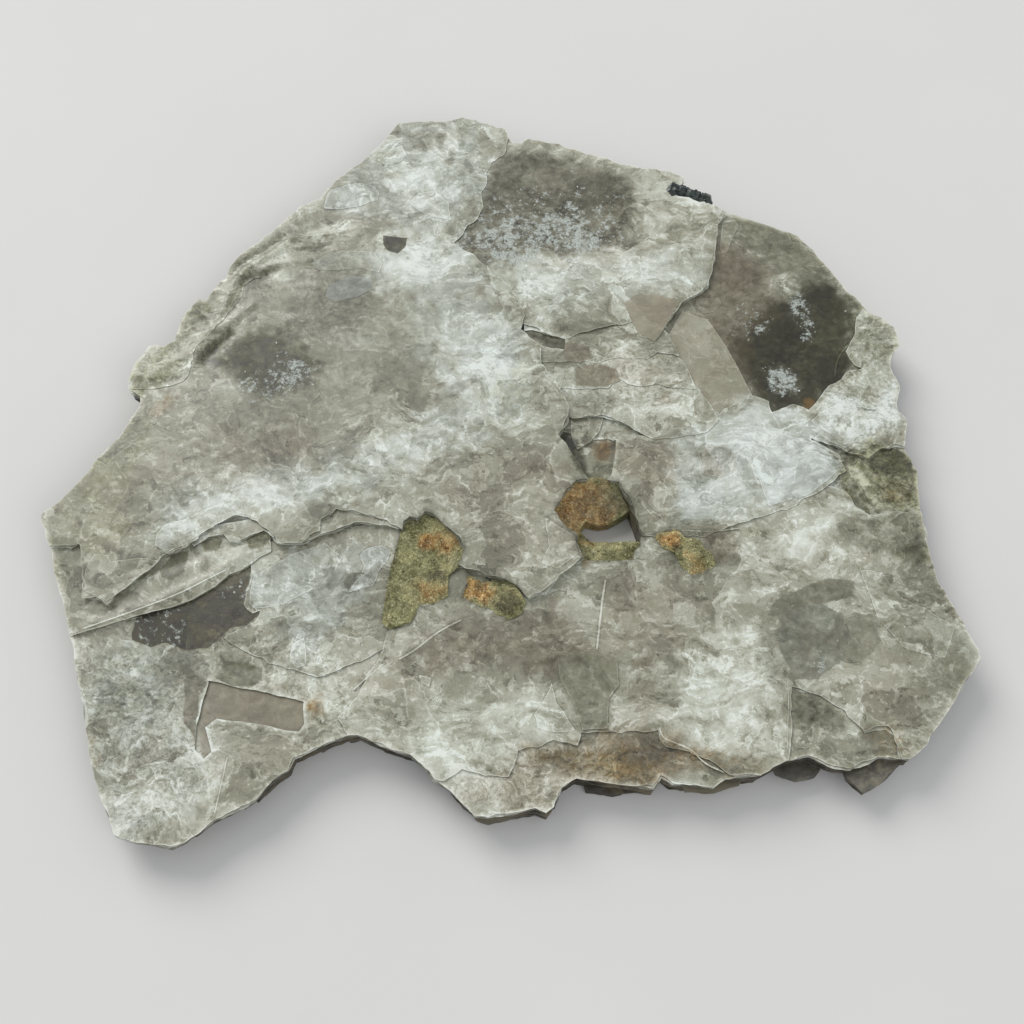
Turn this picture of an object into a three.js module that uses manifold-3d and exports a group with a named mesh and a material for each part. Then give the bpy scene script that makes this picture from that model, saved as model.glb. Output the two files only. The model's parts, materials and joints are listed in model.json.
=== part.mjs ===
// A muscovite mica specimen that lies flat: a book of thin cleaved sheets with torn edges, a hole right
// through it lined with iron-stained rock, three more rusty rock patches sunk in its face, and one black
// tourmaline crystal in its far edge. Millimetres, +Z up, resting on z = 0, the long way of the book on X.
import * as THREE from "three";
import { mergeVertices } from "three/addons/utils/BufferGeometryUtils.js";
import Module from "manifold-3d";

const wasm = await Module();
wasm.setup();

// Driving dimensions.
const SKY = 12; // a height above everything, for cutters
const BELOW = -1; // a height below everything, for cutters
const FIT_GAP = 0.3; // clearance all round a rock patch or crystal in its pocket
const EDGE_STEP = 4.6; // longest straight run left on a torn edge
const TEAR = 0.3; // how far a torn edge wanders to either side
const BODY_TOP = 5.4; // top of the stacked body that carries the face sheets
const LAYER_UNEVENNESS = 0.55; // how unevenly the layers of the body are drawn in
const LAP = 0.05; // how far one layer runs up into the next, so that they join
const SHEET_ROOT = 0.3; // how far a face sheet runs down into the body
const POCKET_FLOOR = 4.2; // floor of the pockets that hold the rock patches

const ROCK = {
  grain: 1.4, // spacing of the lumps
  leftTop: 5.9,
  middleTop: 5.8,
  rightTop: 6.2,
  liningBottom: 0.3,
  wallFoot: 1.6, // the wall round the hole climbs from here
  wallHead: 6.3, // to here
  nearRim: 5.3,
};

const CRYSTAL = {
  radius: 1.5,
  length: 8.4,
  sides: 9,
  centre: [35.7, 52.7, 6.3],
  heading: -0.4, // turned from +X, in the plan
  dip: 0.04,
  chamfer: 0.5,
  point: 1, // length of the low point on its far end
};

// Heights of the sheets on the face, from the highest sheet down to the clear windows.
const LEVEL = {
  rumple: 8.65,
  crown: 8.2,
  farSheet: 7.95,
  leafStep: 7.75,
  brokenBack: 7.65,
  brokenMiddle: 7.5,
  brokenFront: 7.35,
  rightSheet: 7.2,
  flakeOnFront: 7.12,
  rimOnRight: 7.08,
  leftStrip: 7.1,
  frontSheet: 6.85,
  farRight: 6.75,
  smokyPane: 6.45,
  leftSheet: 6.4,
  grooveFloor: 6.2,
  darkPane: 5.8,
};

// The outer edge of the book, clockwise from its left corner.
const OUTLINE = [
  [-78.6, -14.4], [-76, -12.2], [-72, -6.8], [-71, -4.6], [-66.8, 0.8], [-65.4, 4], [-64.1, 6.4],
  [-64.3, 8.4], [-66.4, 9.8], [-66.8, 11.4], [-65.8, 15.4], [-63.8, 18.8], [-62.6, 19.2],
  [-61.2, 18.6], [-59.2, 20], [-58.6, 24], [-58, 26.2], [-55.8, 29], [-54.4, 28.6], [-53.6, 31],
  [-52.6, 33], [-51.2, 33.6], [-50.6, 36], [-49.2, 38.4], [-41.4, 46.4], [-38.6, 49.8], [-34.8, 51.6],
  [-33.6, 54], [-31.4, 56.8], [-27.6, 60.2], [-24, 64.4], [-20.4, 70.2], [-10, 70.4], [-8, 71.4],
  [-5.4, 70.9], [-4, 70.1], [0.6, 68.6], [1.8, 65.2], [3.6, 65.4], [4.4, 66.5], [11, 65],
  [22.8, 60.3], [30.8, 58.7], [35.6, 56.8], [37.4, 55.4], [39.8, 51.4], [41.6, 49.6], [45.2, 48.6],
  [51.4, 46.4], [55.8, 44.1], [58.8, 40.4], [63.2, 33.4], [67.2, 27], [69.4, 25.7], [71.4, 23.4],
  [72, 19.6], [70.4, 16.4], [70.2, 14.8], [71.2, 11], [70.3, 6], [71.7, 4], [70.8, -0.8],
  [72.8, -5.4], [72.3, -9], [72.1, -15], [72.7, -22], [74, -27.4], [78.4, -38.6], [78.6, -40.2],
  [75.2, -45], [68, -54.6], [65, -57.2], [60, -56.8], [55.4, -58.7], [52.5, -58.3], [49, -56.6],
  [45.2, -57.2], [41, -59.6], [35.6, -59.9], [33.6, -61.4], [27, -60.9], [25.4, -59.8], [24.2, -61.6],
  [20, -61.2], [12, -60], [9.8, -61.4], [8.4, -64.6], [7.2, -65.7], [5.4, -65], [-2, -66.3],
  [-4.2, -66], [-8.8, -61.2], [-10.7, -60.2], [-11.5, -58.8], [-14.6, -56.2], [-18.2, -55.1],
  [-23, -52.9], [-25, -53.1], [-30, -55.6], [-32.6, -56.8], [-33.4, -58.8], [-35.4, -60],
  [-38.4, -63.6], [-44.6, -66.9], [-48.8, -70.1], [-51.2, -71], [-56.8, -70.1], [-60, -69],
  [-63, -63], [-64.6, -60], [-67.6, -48.8], [-71.2, -36.4], [-77, -19],
];

// The crown: the highest sheet, over the left and middle of the face. Its first points lie past the outer
// edge, which trims it there; the rest is its own torn edge, anticlockwise round the rock patches.
const CROWN = [
  [-82, -14], [-72, 20], [-50, 52], [-22, 76], [0, 74], [1.2, 66], [0.4, 62.4], [-1.8, 60.2],
  [-3, 58.4], [-3.2, 55], [-3.9, 50], [-5.2, 47], [-6.9, 45.4], [-7.4, 43.4], [-8.7, 41.5],
  [-4.6, 37.6], [-1.8, 34.4], [1.7, 31.6], [2.5, 29.3], [4.1, 25.2], [3.4, 22.3], [4.6, 21.2],
  [6.6, 19.4], [7.2, 17], [7, 15], [9.8, 10.8], [11.6, 6.4], [11.7, 4.6], [9.9, 0.8], [14.6, -7.5],
  [16, -12], [16, -22], [13.6, -22.8], [9.4, -26.2], [7.2, -28.5], [4.6, -30], [2, -27], [-7, -24],
  [-12, -20], [-17.4, -16.8], [-22.4, -15], [-28.2, -13.8], [-29, -14.8], [-30.6, -15.9],
  [-31.2, -17.4], [-32.8, -18.2], [-33.8, -20], [-37.2, -20], [-38.8, -18.7], [-40.2, -17],
  [-44.4, -15.2], [-46.2, -15], [-51, -18.2], [-53.2, -20.6], [-57.4, -23], [-59.8, -25],
  [-61.2, -26.8], [-64.1, -28.8], [-65.1, -31.2], [-67.4, -29.9], [-69.4, -29.8], [-69.8, -26],
  [-71.4, -20.1], [-74, -20.6], [-80, -20.4],
];
const FAR_SHEET = [
  [-12, 40], [-4, 62], [0, 76], [30, 66], [46, 54], [40.6, 46], [39.8, 38.4], [37.8, 32.2],
  [35.2, 29.6], [33.2, 28.4], [30, 23.6], [27.2, 20.8], [25.2, 21.2], [23.8, 24.3], [18.4, 22.9],
  [11.4, 20.7], [7.4, 21.4], [6.8, 22.6], [4.6, 23.6], [0, 26],
];
const LEAF_STEP = [
  [-36, -14], [-20, -12], [-15, -15.4], [-17.6, -17], [-20, -16.2], [-25.2, -15.9], [-27.4, -16.9],
  [-29.4, -17.8], [-31, -18.4], [-34, -19.9],
];
const STRIP_STEP = [
  [-54, -18], [-38, -14], [-38.4, -18.6], [-40.4, -17.6], [-42.6, -18.4], [-44.6, -19.8],
  [-46, -19.7], [-47.2, -18.3], [-49.8, -18.5], [-52, -20.4],
];
const BROKEN_BACK = [
  [4, 24], [27.2, 24], [30.6, 21.9], [31.9, 17], [28, 17.7], [26.4, 16.5], [20, 16.8], [16.6, 15.8],
  [13.4, 16.4], [10.6, 15.4], [4, 16],
];
const BROKEN_MIDDLE = [
  [2, 18], [31, 18], [32.8, 15], [34.8, 10.1], [30, 10.8], [27.4, 11.6], [25.4, 10.8], [22.4, 11.3],
  [20.8, 12.2], [19, 10.4], [10.2, 10.2], [2, 10],
];
const BROKEN_FRONT = [
  [2, 12], [34, 12], [36.6, 8], [38.2, 4.2], [37.4, 3], [35.6, 1.4], [29.6, 0.3], [26.8, 0.4],
  [23, 2.4], [18, 4.9], [12.6, 4.5], [2, 6],
];
const GLASSY_CHIP = [[12.2, 5], [18, 5.2], [17.2, 2.2], [15.6, 0.2], [13.2, -1.4], [12.2, 1.8]];
const RIGHT_SHEET = [
  [19.6, 0.6], [30, 2], [37.6, 5], [42.6, 7.6], [44.6, 9], [47.4, 7.8], [48, 6], [52, 7],
  [54.4, 5.9], [57.6, 10.2], [60, 11.4], [62.2, 14.6], [66, 14.8], [69, 17.2], [73, 17], [73, -1],
  [69, -0.6], [64, -3.2], [60, -2], [54, 0.6], [58.6, -2.6], [60.5, -5.3], [57.4, -7.8],
  [53.8, -10.4], [49, -13], [44.4, -14.6], [40, -16.4], [34.6, -17.9], [26, -18.4], [20, -18],
  [18, -7.8],
];
const LEFT_STRIP = [
  [-80, -18], [-40, -14], [-39, -21], [-42.4, -23.4], [-43.6, -24.4], [-45.8, -25.4], [-48, -27.4],
  [-51.4, -29.6], [-55, -31.2], [-66, -34.6], [-73, -36.9],
];
const LEFT_INNER_SHEET = [
  [-42.6, -20], [-16, -14], [-15, -36], [-22, -40], [-30, -43.4], [-38.4, -40.6], [-45.4, -36.4],
  [-40.4, -33], [-40.2, -31.6], [-41.2, -32], [-42.6, -30.4], [-42.8, -28], [-41.9, -25.6],
];
// The front sheet covers the rest of the face to the right of the bay in the near edge.
const FRONT_SHEET = [
  [-15, -14], [12, -20], [40, -10], [54, -8], [59, -9.4], [61, -12.4], [63, -14], [74, -13],
  [82, -40], [66, -58], [63.8, -57.3], [63.3, -55.2], [62.9, -53], [61.8, -51.8], [60, -51.8],
  [58.2, -52.6], [55, -48.6], [52.6, -46.8], [47.2, -44.9], [46.2, -53], [45.4, -58.2], [40, -62],
  [34.4, -58.2], [33, -56.8], [30, -55.4], [26.4, -54.6], [25.2, -52], [18.4, -52.6], [12.8, -52.5],
  [12.2, -54.6], [8.4, -53.8], [2.9, -55.7], [2.6, -57], [1.2, -59.6], [-3, -59.4], [-6.2, -58.5],
  [-9, -60.2], [-22, -58], [-26, -50], [-20, -40],
];
const STRAIGHT_LEAF = [
  [10, -24], [13.6, -22.8], [17.4, -26.2], [16.8, -30], [15.7, -38.6], [9.6, -38.5],
];
const CORNER_STEP = [
  [18.6, -52.4], [25.4, -51.6], [38, -57], [40, -63], [27, -61.2], [24, -60], [20.2, -56.6],
];
const LENS_FLAKE = [
  [9.2, -40], [10.6, -38.5], [16, -39.4], [19, -40.6], [19.2, -44.6], [17.4, -47], [17, -51.8],
  [13, -52.3], [12, -48.6], [9.6, -43.4],
];
const FAR_RIGHT_SHEET = [
  [28, 23], [32, 32], [40, 54], [66, 44], [76, 18], [70, 15.6], [66, 14.6], [60, 10], [54, 4], [36, 2],
  [34, 12],
];
const NARROW_STRIP = [
  [30.2, 21.6], [33, 27], [37.6, 25.2], [40.8, 19.2], [44.6, 9.2], [38, 4.4], [34.6, 10.2],
];
const FAR_RIM = [
  [64.3, 22], [65.2, 25.6], [66.6, 27.6], [72, 28], [74, 18], [69, 16.6], [66, 14.6], [63.6, 15.6],
  [62.2, 18.4],
];
const RUMPLE = [
  [-50.6, 36.4], [-46.4, 36.8], [-44.6, 33.6], [-48, 32], [-48.4, 28.4], [-50.2, 25], [-54.8, 18.6],
  [-56.8, 11.6], [-61, 10], [-68, 10], [-67, 18], [-60, 26], [-54, 34],
];

// Windows: places where sheets have come away and the clear mica below shows.
const DARK_PANE = [
  [-61.6, -34], [-55, -31.3], [-51.4, -29.7], [-46, -25.7], [-43.8, -24.5], [-42, -25.6],
  [-42.9, -28], [-42.7, -30.5], [-40.4, -32.8], [-45.4, -36], [-49, -38.4], [-53.4, -39.4],
  [-56.5, -37.5], [-60, -36.5],
];
const LONG_PANE = [
  [-47.6, -43.8], [-40, -45.3], [-31.9, -47.3], [-31.5, -51], [-32.4, -52.2], [-40, -51],
  [-45.8, -50.1], [-47.5, -51.6], [-46, -55.6], [-47.2, -56.8], [-48.7, -55.2], [-49, -51.5],
  [-48.4, -48],
];
const SMOKY_PANE = [
  [41.6, 20], [43.2, 14], [45, 9.6], [48.2, 7], [54, 7.6], [57.8, 10.8], [61.8, 14.8], [62, 18.4],
  [64.2, 22], [64.6, 26], [62.2, 31.6], [57.4, 31.6], [55.4, 26.8], [51.4, 27.8], [47, 23.6],
];
const EDGE_PANE = [
  [59.2, -3.6], [62.6, -4.8], [66.6, -1.2], [70.2, -1.6], [71, -6], [69.6, -9.8], [69, -12.4],
  [66.4, -12.8], [61.6, -12.2], [60.6, -8.6],
];
const SLIT = [
  [3.9, 22.4], [4.5, 23.5], [7.2, 21.4], [11.8, 20.6], [14.4, 19.6], [13.8, 16.8], [10.4, 15.7],
  [10.8, 18.8], [6.6, 19.6],
];
const GROOVE = [
  [9.8, 0.9], [10.8, 2.1], [12.1, 1.8], [13.3, -1.4], [16.2, 0.5], [18.6, 0.8], [20, 0],
  [19.6, -4.6], [18.8, -7.4], [14.6, -7.8],
];

// Rock patches, each in a pocket cut from the face.
const HOLE_RECESS = [
  [18.2, -7.8], [20.2, -8.1], [22, -11.4], [22.9, -14], [23.9, -17.6], [23.7, -20], [22.6, -21],
  [22.4, -22.6], [13.8, -22.6], [12.6, -19.6], [12.8, -18.2], [11.2, -17.2], [8.9, -13.9],
  [11, -10], [12.8, -8.3], [16.4, -7.3],
];
const HOLE = [
  [13.3, -15.2], [14.4, -12.4], [16.6, -11.8], [20.2, -10.6], [26, -10.6], [26, -19], [18.4, -19],
  [15.6, -18],
];
const LEFT_PATCH = [
  [-16.6, -16], [-15.6, -15.2], [-14.4, -15.5], [-13.1, -14.1], [-11.4, -14.8], [-8.6, -17.4],
  [-7.2, -18.8], [-6.5, -20.8], [-6.7, -23], [-9.2, -25.4], [-9.2, -29], [-10, -29.8],
  [-13.8, -30.8], [-15.2, -33.6], [-18.6, -34.7], [-19.6, -33.6], [-18.6, -26], [-17.2, -19],
];
const MIDDLE_PATCH = [
  [-5.4, -25.8], [-2, -26.8], [0.6, -26.5], [2, -27.4], [3.8, -30.3], [3.1, -32.2], [0.8, -33.2],
  [-2.4, -31.2], [-6.4, -29.3],
];
const RIGHT_PATCH = [
  [26.2, -18.3], [27.2, -17.5], [29.6, -17.2], [31, -18.8], [33.4, -19.2], [35.4, -22],
  [36, -23.4], [33.4, -25.2], [31.8, -25.4], [30.6, -23.8], [29.4, -21.2], [27.4, -20.2],
];

// The body under the face: each layer is the outer edge drawn in by `draw`, and the lowest layers are
// smaller still, as a share of the face, because the book thins out towards its left and near corners.
const LAYERS = [
  { bottom: 0, top: 0.7, draw: 1.6, share: 0.74 },
  { bottom: 0.7, top: 1.5, draw: 1.1, share: 0.8 },
  { bottom: 1.5, top: 2.2, draw: 1.5, share: 0.87 },
  { bottom: 2.2, top: 3.0, draw: 0.9, share: 0.95 },
  { bottom: 3.0, top: 3.7, draw: 1.3, share: 1.06 },
  { bottom: 3.7, top: 4.6, draw: 0.6, share: 1.3 },
  { bottom: 4.6, top: BODY_TOP, draw: 0.9, share: 1.3 },
];
const FOOT = [
  [-66, -8], [-58, 18], [-46, 40], [-26, 60], [-8, 78], [34, 72], [62, 52], [82, 26], [84, -8],
  [82, -34], [72, -56], [58, -84], [-14, -84], [-34, -66], [-56, -52],
];
// Leaves that stick out of the near side below the face sheets.
const NEAR_LEAVES = [
  { bottom: 1.9, top: 2.9, outline: [[42, -54], [44, -58.6], [47, -59.6], [50.4, -59.2], [53, -56]] },
  {
    bottom: 3.4,
    top: 4.9,
    outline: [[54, -55], [55, -59.6], [57.4, -62], [60.4, -60.4], [65.4, -56], [62, -52]],
  },
  { bottom: 0.3, top: 1.2, outline: [[12, -57], [13.6, -60.9], [18, -61.5], [22, -60.8], [24, -57]] },
  { bottom: 2.4, top: 3.3, outline: [[28, -57], [29.4, -61.2], [34, -61.4], [38, -60], [40, -57]] },
];

// A repeatable pseudo-random number from -1 to 1.
function chance(a, b) {
  const s = Math.sin(a * 127.1 + b * 311.7) * 43758.5453;
  return 2 * (s - Math.floor(s)) - 1;
}

// Smooth noise over the plan, about -1 to 1, with lumps of the given size.
function lumps(x, y, size) {
  const u = x / size;
  const v = y / size;
  const i = Math.floor(u);
  const j = Math.floor(v);
  const fade = (t) => t * t * (3 - 2 * t);
  const a = THREE.MathUtils.lerp(chance(i, j), chance(i + 1, j), fade(u - i));
  const b = THREE.MathUtils.lerp(chance(i, j + 1), chance(i + 1, j + 1), fade(u - i));
  return THREE.MathUtils.lerp(a, b, fade(v - j));
}

// Breaks long runs of an outline into short ones that wander a little, as torn mica does.
function torn(points, seed) {
  return points.flatMap(([x, y], i) => {
    const [nextX, nextY] = points[(i + 1) % points.length];
    const length = Math.hypot(nextX - x, nextY - y);
    const runs = Math.max(1, Math.ceil(length / EDGE_STEP));
    const across = [(y - nextY) / length, (nextX - x) / length];
    return Array.from({ length: runs }, (_, k) => {
      const wander = k ? TEAR * chance(i + k * 0.37, seed) : 0;
      const t = k / runs;
      return [x + (nextX - x) * t + across[0] * wander, y + (nextY - y) * t + across[1] * wander];
    });
  });
}

// Moves each side of a clockwise outline inwards by `distance`, give or take `unevenness` of it.
function drawnIn(points, distance, unevenness = 0, seed = 0) {
  const inward = ([x0, y0], [x1, y1]) => {
    const length = Math.hypot(x1 - x0, y1 - y0);
    return [(y1 - y0) / length, (x0 - x1) / length];
  };
  return points.map((point, i) => {
    const before = inward(points[(i + points.length - 1) % points.length], point);
    const after = inward(point, points[(i + 1) % points.length]);
    const sum = [before[0] + after[0], before[1] + after[1]];
    const spread = Math.max(sum[0] * sum[0] + sum[1] * sum[1], 0.8);
    const reach = (2 * distance * (1 + unevenness * chance(i, seed))) / spread;
    return [point[0] + sum[0] * reach, point[1] + sum[1] * reach];
  });
}

const scaled = (points, share) => points.map(([x, y]) => [x * share, y * share]);

function solidOf(geometry) {
  const bare = geometry.clone();
  bare.deleteAttribute("normal");
  bare.deleteAttribute("uv");
  const merged = mergeVertices(bare, 1e-4);
  return new wasm.Manifold(
    new wasm.Mesh({
      numProp: 3,
      vertProperties: merged.attributes.position.array,
      triVerts: new Uint32Array(merged.index.array),
    }),
  );
}

// A flat sheet with the given outline between two heights.
function sheet(points, bottom, top) {
  const shape = new THREE.Shape(points.map(([x, y]) => new THREE.Vector2(x, y)));
  const geometry = new THREE.ExtrudeGeometry(shape, { depth: top - bottom, bevelEnabled: false });
  geometry.translate(0, 0, bottom);
  return solidOf(geometry);
}

const joined = (solids) => solids.reduce((whole, piece) => whole.add(piece));

// A block over a rectangle of the plan whose top follows a height function.
function lumpyBlock([left, near, right, far], step, bottom, heightAt) {
  const columns = Math.ceil((right - left) / step);
  const rows = Math.ceil((far - near) / step);
  const block = new THREE.BoxGeometry(right - left, far - near, 1, columns, rows, 1);
  block.translate((left + right) / 2, (near + far) / 2, 0);
  const at = block.attributes.position;
  for (let i = 0; i < at.count; i++) {
    at.setZ(i, at.getZ(i) < 0 ? bottom : heightAt(at.getX(i), at.getY(i)));
  }
  return solidOf(block);
}

// The stacked body and the face sheets, before anything is cut from them.
function stackedBook() {
  const body = LAYERS.map(({ bottom, top, draw, share }, i) =>
    sheet(torn(drawnIn(OUTLINE, draw, LAYER_UNEVENNESS, i), i), bottom, top + LAP).intersect(
      sheet(torn(scaled(FOOT, share), i + 40), BELOW, SKY),
    ),
  );
  const faces = [
    [OUTLINE, LEVEL.leftSheet],
    [CROWN, LEVEL.crown],
    [FAR_SHEET, LEVEL.farSheet],
    [LEAF_STEP, LEVEL.leafStep],
    [STRIP_STEP, LEVEL.leafStep],
    [BROKEN_BACK, LEVEL.brokenBack],
    [BROKEN_MIDDLE, LEVEL.brokenMiddle],
    [BROKEN_FRONT, LEVEL.brokenFront],
    [GLASSY_CHIP, LEVEL.farRight],
    [RIGHT_SHEET, LEVEL.rightSheet],
    [LEFT_STRIP, LEVEL.leftStrip],
    [LEFT_INNER_SHEET, LEVEL.farRight],
    [FRONT_SHEET, LEVEL.frontSheet],
    [STRAIGHT_LEAF, LEVEL.flakeOnFront],
    [LENS_FLAKE, LEVEL.flakeOnFront + LAP],
    [CORNER_STEP, LEVEL.smokyPane],
    [FAR_RIGHT_SHEET, LEVEL.farRight],
    [NARROW_STRIP, LEVEL.rimOnRight],
    [FAR_RIM, LEVEL.rimOnRight],
    [RUMPLE, LEVEL.rumple],
  ].map(([points, top], i) => sheet(torn(points, i + 10), BODY_TOP - SHEET_ROOT, top));
  const edge = sheet(torn(OUTLINE, 9), 0, SKY);
  const leaves = NEAR_LEAVES.map(({ bottom, top, outline }) => sheet(outline, bottom, top));
  return joined([...body, joined(faces).intersect(edge), ...leaves]);
}

function micaBook() {
  const windows = [
    [DARK_PANE, LEVEL.darkPane],
    [LONG_PANE, LEVEL.darkPane],
    [SMOKY_PANE, LEVEL.smokyPane],
    [EDGE_PANE, LEVEL.smokyPane],
    [SLIT, LEVEL.farRight],
    [GROOVE, LEVEL.grooveFloor],
    [HOLE_RECESS, BELOW],
    [LEFT_PATCH, POCKET_FLOOR],
    [MIDDLE_PATCH, POCKET_FLOOR],
    [RIGHT_PATCH, POCKET_FLOOR],
  ].map(([points, floor]) => sheet(points, floor, SKY));
  return stackedBook().subtract(joined([...windows, crystalSlot()]));
}

// A rock patch that fills its pocket, with a lumpy top.
function rockPatch(outline, bottom, heightAt) {
  const xs = outline.map(([x]) => x);
  const ys = outline.map(([, y]) => y);
  const bounds = [Math.min(...xs) - 1, Math.min(...ys) - 1, Math.max(...xs) + 1, Math.max(...ys) + 1];
  const block = lumpyBlock(bounds, ROCK.grain, bottom, heightAt);
  return block.intersect(sheet(drawnIn(outline, FIT_GAP), BELOW, SKY));
}

const rough = (x, y) => 0.45 * lumps(x, y, 3.1) + 0.25 * lumps(x + 9, y, 1.5);

// The lining of the hole: a low rim on the near side, and a wall that climbs away from the hole elsewhere.
function liningHeight(x, y) {
  const away = Math.hypot((x - 18.6) / 9.6, (y + 15) / 7.4);
  const climb = THREE.MathUtils.smoothstep(away, 0.5, 0.95);
  const wall = THREE.MathUtils.lerp(ROCK.wallFoot, ROCK.wallHead, climb);
  const near = THREE.MathUtils.smoothstep(-y, 17.4, 19);
  return THREE.MathUtils.lerp(wall, ROCK.nearRim, near) + rough(x, y);
}

function holeLining() {
  const block = rockPatch(HOLE_RECESS, ROCK.liningBottom, liningHeight);
  return block.subtract(sheet(HOLE, BELOW, SKY));
}

function pocketRock(outline, top) {
  return rockPatch(outline, POCKET_FLOOR + FIT_GAP, (x, y) => top + rough(x, y));
}

// The tourmaline: a nine-sided prism with one end broken square and a low point on the other.
function crystalForm(grow) {
  const r = CRYSTAL.radius + grow;
  const half = CRYSTAL.length / 2 + grow;
  const profile = [
    new THREE.Vector2(0, -half),
    new THREE.Vector2(0.85 * r, -half),
    new THREE.Vector2(r, CRYSTAL.chamfer - half),
    new THREE.Vector2(r, half - CRYSTAL.point),
    new THREE.Vector2(0.4 * r, half),
    new THREE.Vector2(0, half),
  ];
  const prism = new THREE.LatheGeometry(profile, CRYSTAL.sides);
  prism.rotateZ(-Math.PI / 2);
  prism.rotateY(CRYSTAL.dip);
  prism.rotateZ(CRYSTAL.heading);
  prism.translate(...CRYSTAL.centre);
  return prism;
}

// The slot that the crystal lies in, open upwards.
function crystalSlot() {
  const r = CRYSTAL.radius + FIT_GAP;
  const half = CRYSTAL.length / 2 + FIT_GAP;
  const depth = SKY - CRYSTAL.centre[2];
  const opening = new THREE.BoxGeometry(2 * half, 2 * r, depth);
  opening.translate(0, 0, depth / 2);
  opening.rotateZ(CRYSTAL.heading);
  opening.translate(...CRYSTAL.centre);
  return solidOf(crystalForm(FIT_GAP)).add(solidOf(opening));
}

function meshOf(name, solid, { color, roughness, metalness = 0 }) {
  const { vertProperties, triVerts } = solid.getMesh();
  const geometry = new THREE.BufferGeometry();
  geometry.setAttribute("position", new THREE.BufferAttribute(vertProperties, 3));
  geometry.setIndex(new THREE.BufferAttribute(triVerts, 1));
  geometry.computeVertexNormals();
  const material = new THREE.MeshStandardMaterial({ color, roughness, metalness, flatShading: true });
  const mesh = new THREE.Mesh(geometry, material);
  mesh.name = name;
  return mesh;
}

const PEARLY_MICA = { color: 0xb4b6a8, roughness: 0.32 };
const RUSTY_ROCK = { color: 0x8a7a48, roughness: 0.85 };
const BLACK_TOURMALINE = { color: 0x14181a, roughness: 0.3 };

const specimen = new THREE.Group();
specimen.add(
  meshOf("mica_book", micaBook(), PEARLY_MICA),
  meshOf("rock_hole_lining", holeLining(), RUSTY_ROCK),
  meshOf("rock_patch_left", pocketRock(LEFT_PATCH, ROCK.leftTop), RUSTY_ROCK),
  meshOf("rock_patch_middle", pocketRock(MIDDLE_PATCH, ROCK.middleTop), RUSTY_ROCK),
  meshOf("rock_patch_right", pocketRock(RIGHT_PATCH, ROCK.rightTop), RUSTY_ROCK),
  meshOf("tourmaline_crystal", solidOf(crystalForm(0)), BLACK_TOURMALINE),
);

// The frame's origin is under the middle of the specimen.
const middle = new THREE.Box3().setFromObject(specimen).getCenter(new THREE.Vector3());
specimen.position.set(-middle.x, -middle.y, 0);
const part = new THREE.Group();
part.add(specimen);

export default part;
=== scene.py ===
"""A flat muscovite mica specimen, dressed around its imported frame.

The book is built leaf by leaf: thin sheets with torn edges are triangulated in the plan, given their own
uneven heights and joined into one closed body. The rust-stained rock that lines the hole and fills three
pockets, the black tourmaline in the far edge and the small flakes that cling to the book are pieces of
their own. Plans are in millimetres; meshes are in metres, in the frame's own place.
"""

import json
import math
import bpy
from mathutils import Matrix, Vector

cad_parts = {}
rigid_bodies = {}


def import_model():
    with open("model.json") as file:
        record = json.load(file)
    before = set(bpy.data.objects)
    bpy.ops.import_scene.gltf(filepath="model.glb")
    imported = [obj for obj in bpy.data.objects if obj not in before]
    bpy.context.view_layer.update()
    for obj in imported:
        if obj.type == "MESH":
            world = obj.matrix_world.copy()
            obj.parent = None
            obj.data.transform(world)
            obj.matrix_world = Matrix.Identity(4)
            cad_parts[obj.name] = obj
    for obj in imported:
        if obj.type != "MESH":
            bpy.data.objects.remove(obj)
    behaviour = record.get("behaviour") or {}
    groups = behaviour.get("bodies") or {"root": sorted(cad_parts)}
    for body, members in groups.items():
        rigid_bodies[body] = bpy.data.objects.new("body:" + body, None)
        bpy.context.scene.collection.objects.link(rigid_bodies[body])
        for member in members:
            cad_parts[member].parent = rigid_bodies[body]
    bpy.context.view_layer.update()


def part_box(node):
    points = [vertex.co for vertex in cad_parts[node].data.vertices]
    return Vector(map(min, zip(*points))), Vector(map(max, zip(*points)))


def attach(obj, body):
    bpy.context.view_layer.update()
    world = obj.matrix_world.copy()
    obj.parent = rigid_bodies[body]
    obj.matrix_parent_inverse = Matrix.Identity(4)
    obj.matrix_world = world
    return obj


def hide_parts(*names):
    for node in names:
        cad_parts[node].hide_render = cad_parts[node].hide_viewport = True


bl_info = {
    "name": "Mica Specimen",
    "blender": (4, 5, 0),
    "version": (1, 0, 0),
    "location": "3D View > Sidebar > Mica",
    "description": "Builds a muscovite mica book with its rock, its tourmaline and a plain stage",
    "category": "Object",
}

import bmesh
import bpy
import numpy as np
from mathutils import Euler, Vector
from mathutils.geometry import delaunay_2d_cdt

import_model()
BOOK_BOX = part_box("mica_book")
MM = 0.001

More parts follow.
